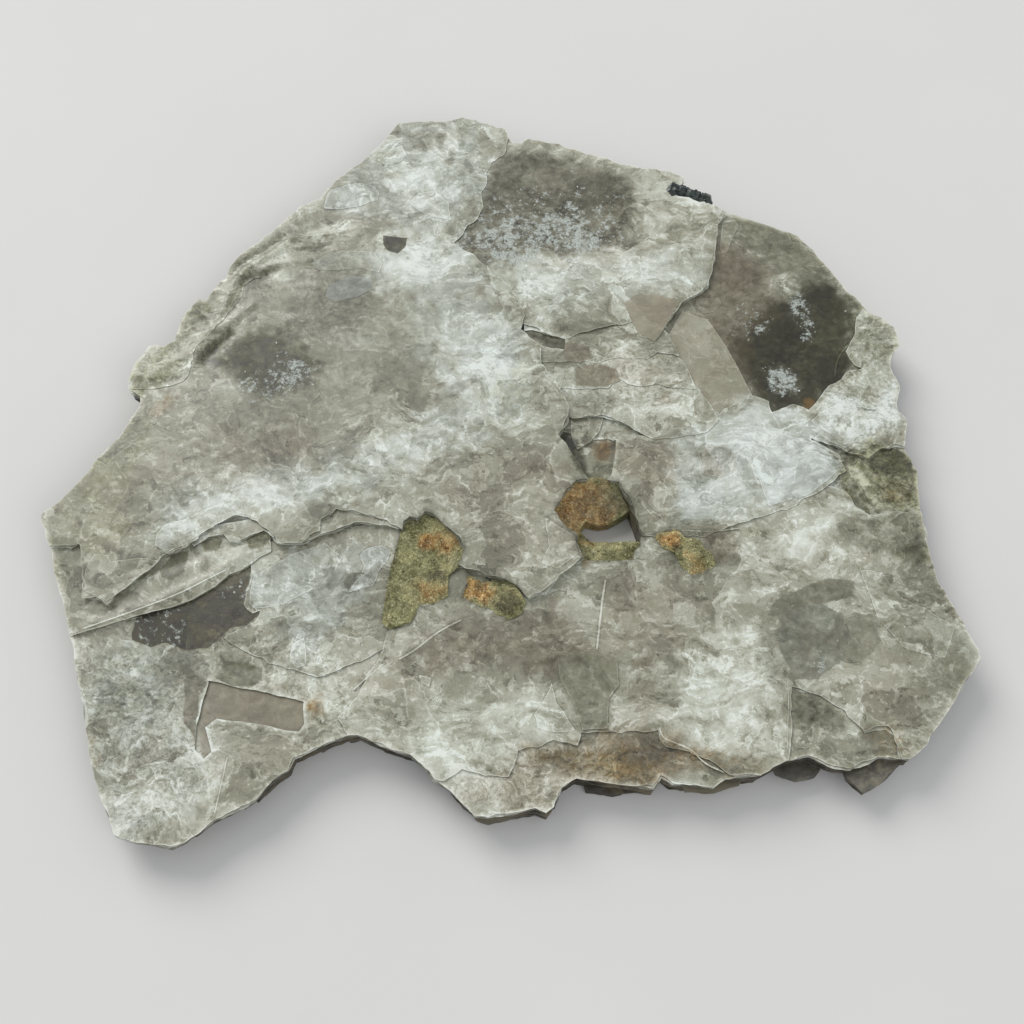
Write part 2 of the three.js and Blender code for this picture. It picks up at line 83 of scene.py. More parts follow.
# The outer edge of the book in the plan, clockwise from its left corner.
OUTLINE = [
    (-78.6, -14.4), (-76, -12.2), (-72, -6.8), (-71, -4.6), (-66.8, 0.8), (-65.4, 4), (-64.1, 6.4),
    (-64.3, 8.4), (-66.4, 9.8), (-66.8, 11.4), (-65.8, 15.4), (-63.8, 18.8), (-62.6, 19.2),
    (-61.2, 18.6), (-59.2, 20), (-58.6, 24), (-58, 26.2), (-55.8, 29), (-54.4, 28.6), (-53.6, 31),
    (-52.6, 33), (-51.2, 33.6), (-50.6, 36), (-49.2, 38.4), (-41.4, 46.4), (-38.6, 49.8), (-34.8, 51.6),
    (-33.6, 54), (-31.4, 56.8), (-27.6, 60.2), (-24, 64.4), (-20.4, 70.2), (-10, 70.4), (-8, 71.4),
    (-5.4, 70.9), (-4, 70.1), (0.6, 68.6), (1.8, 65.2), (3.6, 65.4), (4.4, 66.5), (11, 65),
    (22.8, 60.3), (30.8, 58.7), (35.6, 56.8), (37.4, 55.4), (39.8, 51.4), (41.6, 49.6), (45.2, 48.6),
    (51.4, 46.4), (55.8, 44.1), (58.8, 40.4), (63.2, 33.4), (67.2, 27), (69.4, 25.7), (71.4, 23.4),
    (72, 19.6), (70.4, 16.4), (70.2, 14.8), (71.2, 11), (70.3, 6), (71.7, 4), (70.8, -0.8),
    (72.8, -5.4), (72.3, -9), (72.1, -15), (72.7, -22), (74, -27.4), (78.4, -38.6), (78.6, -40.2),
    (75.2, -45), (68, -54.6), (65, -57.2), (60, -56.8), (55.4, -58.7), (52.5, -58.3), (49, -56.6),
    (45.2, -57.2), (41, -59.6), (35.6, -59.9), (33.6, -61.4), (27, -60.9), (25.4, -59.8), (24.2, -61.6),
    (20, -61.2), (12, -60), (9.8, -61.4), (8.4, -64.6), (7.2, -65.7), (5.4, -65), (-2, -66.3),
    (-4.2, -66), (-8.8, -61.2), (-10.7, -60.2), (-11.5, -58.8), (-14.6, -56.2), (-18.2, -55.1),
    (-23, -52.9), (-25, -53.1), (-30, -55.6), (-32.6, -56.8), (-33.4, -58.8), (-35.4, -60),
    (-38.4, -63.6), (-44.6, -66.9), (-48.8, -70.1), (-51.2, -71), (-56.8, -70.1), (-60, -69),
    (-63, -63), (-64.6, -60), (-67.6, -48.8), (-71.2, -36.4), (-77, -19),
]

# Torn sheets of the face. Points outside the outer edge are trimmed by it.
CROWN = [
    (-82, -14), (-72, 20), (-50, 52), (-22, 76), (0, 74), (1.2, 66), (0.4, 62.4), (-1.8, 60.2),
    (-3, 58.4), (-3.2, 55), (-3.9, 50), (-5.2, 47), (-6.9, 45.4), (-7.4, 43.4), (-8.7, 41.5),
    (-4.6, 37.6), (-1.8, 34.4), (1.7, 31.6), (2.5, 29.3), (4.1, 25.2), (3.4, 22.3), (4.6, 21.2),
    (6.6, 19.4), (7.2, 17), (7, 15), (9.8, 10.8), (11.6, 6.4), (11.7, 4.6), (9.9, 0.8), (14.6, -7.5),
    (16, -12), (16, -22), (13.6, -22.8), (9.4, -26.2), (7.2, -28.5), (4.6, -30), (2, -27), (-7, -24),
    (-12, -20), (-17.4, -16.8), (-22.4, -15), (-28.2, -13.8), (-29, -14.8), (-30.6, -15.9),
    (-31.2, -17.4), (-32.8, -18.2), (-33.8, -20), (-37.2, -20), (-38.8, -18.7), (-40.2, -17),
    (-44.4, -15.2), (-46.2, -15), (-51, -18.2), (-53.2, -20.6), (-57.4, -23), (-59.8, -25),
    (-61.2, -26.8), (-64.1, -28.8), (-65.1, -31.2), (-67.4, -29.9), (-69.4, -29.8), (-69.8, -26),
    (-71.4, -20.1), (-74, -20.6), (-80, -20.4),
]
FAR_SHEET = [
    (-12, 40), (-4, 62), (0, 76), (30, 66), (46, 54), (40.6, 46), (39.8, 38.4), (37.8, 32.2),
    (35.2, 29.6), (33.2, 28.4), (30, 23.6), (27.2, 20.8), (25.2, 21.2), (23.8, 24.3), (18.4, 22.9),
    (11.4, 20.7), (7.4, 21.4), (6.8, 22.6), (4.6, 23.6), (0, 26),
]
LEAF_STEP = [
    (-36, -14), (-20, -12), (-15, -15.4), (-17.6, -17), (-20, -16.2), (-25.2, -15.9), (-27.4, -16.9),
    (-29.4, -17.8), (-31, -18.4), (-34, -19.9),
]
STRIP_STEP = [
    (-54, -18), (-38, -14), (-38.4, -18.6), (-40.4, -17.6), (-42.6, -18.4), (-44.6, -19.8),
    (-46, -19.7), (-47.2, -18.3), (-49.8, -18.5), (-52, -20.4),
]
BROKEN_BACK = [
    (4, 24), (27.2, 24), (30.6, 21.9), (31.9, 17), (28, 17.7), (26.4, 16.5), (20, 16.8), (16.6, 15.8),
    (13.4, 16.4), (10.6, 15.4), (4, 16),
]
BROKEN_MIDDLE = [
    (2, 18), (31, 18), (32.8, 15), (34.8, 10.1), (30, 10.8), (27.4, 11.6), (25.4, 10.8), (22.4, 11.3),
    (20.8, 12.2), (19, 10.4), (10.2, 10.2), (2, 10),
]
BROKEN_FRONT = [
    (2, 12), (34, 12), (36.6, 8), (38.2, 4.2), (37.4, 3), (35.6, 1.4), (29.6, 0.3), (26.8, 0.4),
    (23, 2.4), (18, 4.9), (12.6, 4.5), (2, 6),
]
GLASSY_CHIP = [(12.2, 5), (18, 5.2), (17.2, 2.2), (15.6, 0.2), (13.2, -1.4), (12.2, 1.8)]
RIGHT_SHEET = [
    (19.6, 0.6), (30, 2), (37.6, 5), (42.6, 7.6), (44.6, 9), (47.4, 7.8), (48, 6), (52, 7),
    (54.4, 5.9), (57.6, 10.2), (60, 11.4), (62.2, 14.6), (66, 14.8), (69, 17.2), (73, 17), (73, -1),
    (69, -0.6), (64, -3.2), (60, -2), (54, 0.6), (58.6, -2.6), (60.5, -5.3), (57.4, -7.8),
    (53.8, -10.4), (49, -13), (44.4, -14.6), (40, -16.4), (34.6, -17.9), (26, -18.4), (20, -18),
    (18, -7.8),
]
LEFT_STRIP = [
    (-80, -18), (-40, -14), (-39, -21), (-42.4, -23.4), (-43.6, -24.4), (-45.8, -25.4), (-48, -27.4),
    (-51.4, -29.6), (-55, -31.2), (-66, -34.6), (-73, -36.9),
]
LEFT_INNER_SHEET = [
    (-42.6, -20), (-16, -14), (-15, -36), (-22, -40), (-30, -43.4), (-38.4, -40.6), (-45.4, -36.4),
    (-40.4, -33), (-40.2, -31.6), (-41.2, -32), (-42.6, -30.4), (-42.8, -28), (-41.9, -25.6),
]
FRONT_SHEET = [
    (-15, -14), (12, -20), (40, -10), (54, -8), (59, -9.4), (61, -12.4), (63, -14), (74, -13),
    (82, -40), (66, -58), (63.8, -57.3), (63.3, -55.2), (62.9, -53), (61.8, -51.8), (60, -51.8),
    (58.2, -52.6), (55, -48.6), (52.6, -46.8), (47.2, -44.9), (46.2, -53), (45.4, -58.2), (40, -62),
    (34.4, -58.2), (33, -56.8), (30, -55.4), (26.4, -54.6), (25.2, -52), (18.4, -52.6), (12.8, -52.5),
    (12.2, -54.6), (8.4, -53.8), (2.9, -55.7), (2.6, -57), (1.2, -59.6), (-3, -59.4), (-6.2, -58.5),
    (-9, -60.2), (-22, -58), (-26, -50), (-20, -40),
]
CORNER_STEP = [
    (18.6, -52.4), (25.4, -51.6), (38, -57), (40, -63), (27, -61.2), (24, -60), (20.2, -56.6),
]
LENS_FLAKE = [
    (9.2, -40), (10.6, -38.5), (16, -39.4), (19, -40.6), (19.2, -44.6), (17.4, -47), (17, -51.8),
    (13, -52.3), (12, -48.6), (9.6, -43.4),
]
FAR_RIGHT_SHEET = [
    (28, 23), (32, 32), (40, 54), (66, 44), (76, 18), (70, 15.6), (66, 14.6), (60, 10), (54, 4), (36, 2),
    (34, 12),
]
NARROW_STRIP = [
    (30.2, 21.6), (33, 27), (37.6, 25.2), (40.8, 19.2), (44.6, 9.2), (38, 4.4), (34.6, 10.2),
]
FAR_RIM = [
    (64.3, 22), (65.2, 25.6), (66.6, 27.6), (72, 28), (74, 18), (69, 16.6), (66, 14.6), (63.6, 15.6),
    (62.2, 18.4),
]
RUMPLE = [
    (-50.6, 36.4), (-46.4, 36.8), (-44.6, 33.6), (-48, 32), (-48.4, 28.4), (-50.2, 25), (-54.8, 18.6),
    (-56.8, 11.6), (-61, 10), (-68, 10), (-67, 18), (-60, 26), (-54, 34),
]

# Windows, where sheets have come away and the clear mica below shows.
LONG_PANE = [
    (-47.6, -43.8), (-40, -45.3), (-31.9, -47.3), (-31.5, -51), (-32.4, -52.2), (-40, -51),
    (-45.8, -50.1), (-47.5, -51.6), (-46, -55.6), (-47.2, -56.8), (-48.7, -55.2), (-49, -51.5),
    (-48.4, -48),
]
EDGE_PANE = [
    (59.2, -3.6), (62.6, -4.8), (66.6, -1.2), (70.2, -1.6), (71, -6), (69.6, -9.8), (69, -12.4),
    (66.4, -12.8), (61.6, -12.2), (60.6, -8.6),
]
SLIT = [
    (4, 22.3), (5.5, 22.5), (8.4, 21.5), (11.4, 20.5), (11.2, 18.4), (8.8, 18.6), (6.6, 19.4), (4.9, 20.6),
]
GROOVE = [
    (9.8, 0.9), (10.8, 2.1), (12.1, 1.8), (13.3, -1.4), (16.2, 0.5), (18.6, 0.8), (20, 0),
    (19.6, -4.6), (18.8, -7.4), (14.6, -7.8),
]

# The pockets that hold the rock, and the opening right through the lining.
HOLE_RECESS = [
    (18.2, -7.8), (20.2, -8.1), (22, -11.4), (22.9, -14), (23.9, -17.6), (23.7, -20), (22.6, -21),
    (22.4, -22.6), (13.8, -22.6), (12.6, -19.6), (12.8, -18.2), (11.2, -17.2), (8.9, -13.9),
    (11, -10), (12.8, -8.3), (16.4, -7.3),
]
HOLE = [
    (13.3, -15.4), (14.6, -13.8), (16.6, -14.2), (18.4, -14), (20.4, -12.9), (22.2, -11.8), (26, -11.4),
    (26, -19), (18.4, -19), (15.6, -18),
]
LEFT_PATCH = [
    (-16.6, -16), (-15.6, -15.2), (-14.4, -15.5), (-13.1, -14.1), (-11.4, -14.8), (-8.6, -17.4),
    (-7.2, -18.8), (-6.5, -20.8), (-6.7, -23), (-9.2, -25.4), (-9.2, -29), (-10, -29.8),
    (-13.8, -30.8), (-15.2, -33.6), (-18.6, -34.7), (-19.6, -33.6), (-18.6, -26), (-17.2, -19),
]
MIDDLE_PATCH = [
    (-5.4, -25.8), (-2, -26.8), (0.6, -26.5), (2, -27.4), (3.8, -30.3), (3.1, -32.2), (0.8, -33.2),
    (-2.4, -31.2), (-6.4, -29.3),
]
RIGHT_PATCH = [
    (26.2, -18.3), (27.2, -17.5), (29.6, -17.2), (31, -18.8), (33.4, -19.2), (35.4, -22),
    (36, -23.4), (33.4, -25.2), (31.8, -25.4), (30.6, -23.8), (29.4, -21.2), (27.4, -20.2),
]

# How far the frame's own place lies from the plan's.
SHIFT = (
    (np.array(BOOK_BOX[0]) + np.array(BOOK_BOX[1]))[:2] / (2 * MM)
    - (np.min(OUTLINE, 0) + np.max(OUTLINE, 0)) / 2
)

# Thin films, a few hundredths of a millimetre thick, that lie on the sheets: how silvery each is from 0 to
# 1, its stains with painted sky reflection among them, and its outline.
FILMS = [
    (0.78, {}, [
        (-58.2, -20.4), (-58.3, -18.2), (-57, -16.6), (-54, -15.6), (-50.6, -14), (-47.6, -12.6),
        (-45.6, -14.6), (-50, -17.8), (-53, -20.2), (-56.4, -21.9)]),
    (0.68, {}, [
        (-69.6, -25), (-69.2, -28.6), (-66.8, -29.6), (-65.4, -30.6), (-61, -26.6), (-57.6, -23.2),
        (-61, -22.9), (-65.6, -23.8), (-66.4, -22.4), (-68.4, -22.2)]),
    (0.85, {"cool": 0.7, "cloud": 0.4}, [
        (-33.8, 49.3), (-33.4, 51.8), (-32.4, 53.4), (-29.8, 54.5), (-27.4, 55), (-24.6, 54.2), (-23.8, 53),
        (-24, 51.2), (-27.1, 49.7), (-31.1, 48.9)]),
    (0.68, {"cool": 0.4}, [
        (-24.4, 60.6), (-21.7, 63.3), (-19.7, 64.1), (-18.8, 61.8), (-19.9, 60.2), (-22.7, 59.4)]),
    (0.8, {"cool": 0.5}, [
        (-17.6, 50.3), (-16.1, 52.6), (-12.9, 53.2), (-10.4, 50.3), (-9.6, 46.4), (-12.3, 47.1),
        (-15.2, 48.1)]),
    (0.75, {"cool": 0.3}, [
        (-35.4, 36.6), (-33, 38.6), (-30, 39.6), (-26, 39.4), (-23.8, 38.9), (-22.6, 36.6), (-22.8, 34.6),
        (-26, 35.6), (-30, 35.2), (-34, 35.2)]),
    (0.25, {"smoke": 0.9, "cool": 0.8, "plain": 0.9}, [
        (-22.4, 42.9), (-21.2, 42.7), (-17.8, 42.5), (-18.1, 40.6), (-19.6, 38.9), (-21.4, 39.6),
        (-22.3, 41)]),
    (0.4, {"smoke": 0.2, "cool": 0.9, "plain": 0.9}, [
        (-31.8, 32), (-28, 33.8), (-24.8, 33.3), (-23.8, 31.2), (-26.8, 29.4), (-30.6, 28.3),
        (-32.4, 29.4)]),
    (0.4, {"warm": 0.9, "smoke": 0.3, "plain": 0.6}, [
        (11.3, 19.8), (13.3, 19.5), (15.6, 18.3), (16.1, 17), (14, 15.6), (11.8, 16), (11, 18)]),
    (0.6, {"warm": 0.3}, [
        (7.6, -15.4), (9.8, -17.4), (12, -19), (12.8, -21.8), (9.4, -24.8), (6.8, -23.6), (8.2, -20.6)]),
    (0.42, {"warm": 0.9, "plain": 0.9}, [
        (22.4, 28), (24, 29.4), (28, 29.9), (32.6, 28.6), (30.2, 24.4), (27.6, 20), (24.8, 21.6),
        (23.6, 24.6)]),
    (0.4, {"warm": 0.9, "smoke": 0.3, "plain": 0.7}, [
        (13.4, 14.4), (17, 15.2), (20.4, 14), (21, 12), (18.4, 10.6), (13.4, 11)]),
    (0.7, {}, [(36, 29.6), (39.9, 30.2), (40.4, 28.8), (39.2, 27), (37.2, 26.6), (35.6, 28)]),
    (0.8, {}, [(41.4, 44.6), (42, 47.2), (44, 47.6), (44.6, 46), (43, 42.8), (41.4, 39), (41, 41)]),
    (0.66, {"cool": 0.4}, [
        (53.6, 3), (57.6, 6), (60, 7.4), (65, 6.4), (69, 6.8), (68, 4.4), (62.4, 0.8), (60.2, -1.2),
        (57.8, 0)]),
    (0.64, {"cool": 0.8, "plain": 0.3}, [
        (46, -12.8), (52.8, -10.4), (56.6, -7.6), (59.4, -5.2), (57.6, -2.8), (54.2, -0.4), (49, 1.2),
        (44, -4)]),
    (0.42, {"warm": 0.8, "smoke": 0.12}, [
        (34.4, -3), (36.4, -1.2), (38.9, -0.8), (41, -3), (40.2, -6.4), (38, -7.4), (35, -6.6)]),
    (0.85, {}, [
        (5.4, -49.6), (7.2, -46.6), (8.2, -44.2), (9, -47.6), (11.6, -52), (9, -52.6), (5.8, -51.8)]),
    (0.95, {}, [(-13.4, -43), (-11.4, -43.4), (-11.6, -45), (-13, -44.2)]),
    (0.56, {"cool": 0.6}, [
        (-41.4, -25.4), (-36, -22), (-30, -19.6), (-27, -22), (-30, -27), (-36, -30.6), (-39.6, -31.2),
        (-41, -31.4), (-42, -30.4), (-42, -28)]),
    (0.8, {}, [(-34.4, -37.6), (-32.6, -36.6), (-32, -41), (-33.4, -41.6), (-34.6, -40.2)]),
    (0.1, {"smoke": 1, "warm": 0.3, "green": 0.8, "plain": 0.4}, [
        (-61, -35.4), (-60, -31.6), (-50.4, -27), (-51.6, -29.1), (-52.4, -33.8), (-52, -38.3),
        (-55.2, -37.1), (-57.6, -37.9), (-60.7, -36.6)]),
    (0.3, {"smoke": 0.88, "warm": 0.6, "plain": 0.4}, [
        (-51.6, -29.1), (-50, -26), (-42.5, -22), (-41.9, -27), (-42.8, -29.1), (-40.2, -32.2),
        (-42.3, -34), (-44.8, -34.4), (-48.3, -38), (-51.7, -38.2), (-52.2, -33.8)]),
    (0.4, {"smoke": 0.5, "warm": 0.3, "plain": 0.8}, [
        (-54.9, -40.3), (-51.7, -41.2), (-49.7, -43), (-48.3, -44), (-48.6, -45.6), (-50.2, -44.3),
        (-52.2, -42.3), (-54.4, -41.7)]),
    (0.4, {"smoke": 0.45, "warm": 0.5, "plain": 0.8}, [
        (-51.5, -43.5), (-49.6, -43.2), (-48.9, -46.8), (-49.1, -50.6), (-48.6, -53.1), (-47.4, -55),
        (-48.6, -55), (-49.4, -52.5), (-51, -50.6), (-50.9, -46.8)]),
    (0.4, {"smoke": 0.4, "green": 0.5, "plain": 0.8}, [
        (-45.5, -40.9), (-41.8, -40.8), (-39.3, -41.7), (-39, -43.6), (-40.3, -44.7), (-44, -44.3),
        (-46.3, -43.2)]),
    (0.85, {"cool": 0.7}, [
        (-23.9, -21.6), (-22.7, -20.5), (-20.3, -20.1), (-19.1, -20.8), (-19.4, -22.6), (-20.5, -24),
        (-21.8, -27), (-23.5, -27.4), (-25.5, -28.4), (-24.7, -27), (-23.5, -25.6), (-23, -23.6)]),
    (0.3, {"smoke": 0.55, "plain": 0.8}, [
        (-25.2, -24.9), (-23.2, -24.9), (-22.6, -26), (-23.4, -27), (-25.7, -27.8), (-26.4, -26.7)]),
    (0.45, {"smoke": 0.3, "cool": 0.7, "plain": 0.8}, [
        (-32.7, -27.7), (-30.4, -23.6), (-27.2, -22.9), (-26.5, -24.9), (-28.8, -29.1), (-31.5, -29.7)]),
    (0.3, {"smoke": 0.8, "green": 0.8}, [
        (64.9, -3.1), (66.6, -1.3), (69.4, -1.3), (71.6, -3.1), (71.6, -5.1), (69.1, -6.2), (66.5, -5.7),
        (64.4, -5.1)]),
    (0.35, {"smoke": 0.75, "green": 0.8}, [
        (65.7, -9.1), (67.5, -7.9), (69.9, -8.6), (72.1, -10), (71.2, -11.6), (68.4, -12), (66.2, -11.6)]),
    (0.4, {"smoke": 0.66, "green": 0.6}, [
        (60.4, -7), (62.1, -8.5), (63, -11.6), (63.3, -15.3), (61.4, -14.6), (60.6, -11.6), (59.5, -9.3)]),
    (0.4, {"smoke": 0.3, "green": 0.8, "plain": 0.5}, [
        (-57.5, -24.4), (-55.5, -21.6), (-52.8, -21), (-53.2, -24.8), (-55.3, -26.3), (-57, -25.9)]),
    (0.4, {"smoke": 0.3, "green": 0.7, "plain": 0.5}, [
        (-51, -19.6), (-48.7, -18), (-47.2, -19), (-47.9, -20.8), (-50.1, -21.2)]),
    (0.4, {"smoke": 0.4, "green": 0.8, "plain": 0.4}, [
        (-43.4, -18.2), (-40.4, -17.2), (-39.2, -18.7), (-40.9, -20.5), (-42.6, -20.3)]),
    (0.3, {"smoke": 0.3, "plain": 0.9}, [
        (44.6, -32.4), (45.6, -30), (48.6, -28.6), (51, -27.4), (55, -26.2), (59, -26.6), (58.6, -29),
        (56, -30), (53, -30.4), (48.4, -30.6), (46.2, -32.4)]),
    (0.38, {"smoke": 0.3, "cool": 0.3, "plain": 0.9}, [
        (46.2, -32.7), (49, -30.9), (53.4, -30.5), (56.4, -32.6), (57.4, -36.4), (55.6, -40.6),
        (51.4, -43.4), (47.9, -43.4), (46, -39.2), (45.4, -35.8)]),
    (0.42, {"smoke": 0.22, "plain": 0.8}, [
        (56.8, -33.2), (59, -32.4), (61.4, -32.8), (62.4, -37), (58.8, -40.6), (56.2, -40.6),
        (57.8, -36.4)]),
    (0.62, {}, [
        (60.6, -24.4), (64, -25), (66.4, -29.4), (70.4, -31.4), (74.6, -34.8), (72.6, -40), (66, -38),
        (62.4, -33)]),
]
# Fine ridges, scratches and cracks of the sheets: tone, above 1 for white and below 0 for dark, width in
# mm, and the points along each. The dark ones are painted shade in cracks and pits and under step edges.
LINES = [
    (-0.3, 0.2, [(-4.4, 5.6), (-2.6, 10.7), (-0.6, 16.3)]),
    (1, 0.24, [(66.2, 22.9), (63.6, 20.8), (61.1, 17.8), (60.2, 15.7), (59.8, 13.2)]),
    # a dark line of painted shadow under the front edge of the right sheet
    (0.1, 0.18, [(23.6, -18.1), (29.7, -17.1), (35.1, -17.5), (40.7, -16.9)]),
    (0.85, 0.2, [(25.4, -51.7), (25.7, -53.3), (27.9, -54.3), (30.4, -55.3), (32.1, -57.5), (35.2, -59)]),
    (0.95, 0.2, [(46.6, -45.5), (45.4, -56.4)]),
    (-0.4, 0.25, [(29.8, -38.4), (30.4, -37), (31.3, -37.7), (31.1, -39.7), (30, -40.3), (29.6, -39)]),
    (0.8, 0.24, [(-69, -35), (-64.9, -33.5), (-59.4, -31.3), (-53.9, -28.9), (-50, -26.7), (-46.2, -24.5)]),
    (0.9, 0.25, [
        (-16.7, -40.2), (-15.3, -39.5), (-13.1, -37.8), (-10.9, -35.9), (-8.6, -34.4), (-6.6, -33.4)]),
    (0.1, 0.2, [(-23.9, -45.4), (-22.5, -44), (-20.9, -42.5), (-19, -40.8)]),
    (-0.5, 0.28, [(-19.2, -40.3), (-18.3, -39.4), (-17.5, -40.2), (-18.2, -41.2), (-19.1, -40.6)]),
    (0.7, 0.3, [(17.4, -26.2), (16.8, -30), (15.7, -38.6)]),
    (0.2, 0.2, [(-43.5, -56.5), (-43.9, -60), (-44.7, -65.5)]),
]
# Folds and hollows that all the sheets share: height in mm, half width in mm, and the points along each.
FOLDS = [
    (-0.5, 1.6, [(-53.4, 15.8), (-51.6, 18.4), (-49.4, 21)]),
    (-0.42, 1.4, [(-48, 31.8), (-45.6, 33.4), (-42.2, 34.8)]),
    (-0.3, 1.4, [(-38, 39), (-35.4, 40), (-33, 40.3)]),
    (-0.35, 1.6, [(-58, 26.6), (-55.4, 26.2), (-53.8, 25)]),
    (-0.3, 1.2, [(-52.6, 30.6), (-49.6, 34.6), (-45.6, 38.8), (-41.4, 42.6)]),
    (0.3, 1.3, [(-55.6, 14), (-54.9, 18.7), (-52.4, 22.3), (-49.4, 24.2), (-46, 27)]),
    (0.28, 1.4, [(-50.8, 26.6), (-49.1, 32.6), (-46.8, 35.7), (-42.6, 39.8), (-39.3, 42.2), (-31, 43.4)]),
    (0.24, 1.2, [(-45.5, 33.6), (-42.3, 36.1), (-38.9, 36.8), (-35.4, 37.4)]),
    (0.25, 1.6, [(-66, 12), (-62.5, 12.3), (-59.5, 14.9), (-55.9, 17.4)]),
    (-0.25, 1.2, [(-64, 9.4), (-60, 11.4), (-57, 12.2)]),
    (-0.25, 1.4, [(-60.6, 17.2), (-57.6, 19.4), (-56, 22)]),
    (0.2, 1.6, [(-69, -35), (-59.4, -31.3), (-50, -26.7), (-44, -22.6)]),
    (-0.25, 1.4, [(-62, -24.6), (-56, -24.2), (-50, -20.8), (-45, -20.6)]),
    (0.2, 1.6, [(-16, -40), (-10.9, -35.9), (-6.6, -33.4)]),
    (-0.3, 0.9, [(-18.6, -40.3), (-18.2, -40.4)]),
    (-0.3, 0.9, [(30.5, -37.8), (30.6, -39.6)]),
    (-0.25, 2.2, [(61, -3), (66, -6), (70, -8)]),
    (0.22, 1.6, [(60, 2), (64, 4), (69, 3)]),
    (-0.22, 1.6, [(63, 8), (66, 8.6), (70, 8)]),
    (0.2, 2, [(62, 12), (66, 12.6), (70, 12)]),
    (-0.2, 1.8, [(-47, -41), (-40, -42), (-33, -43)]),
    (0.22, 2.2, [(-60, -44), (-54, -46), (-52, -54)]),
    (-0.22, 2, [(-63, -48), (-58, -52), (-56, -60)]),
    (0.2, 2, [(-50, -58), (-48, -64)]),
]
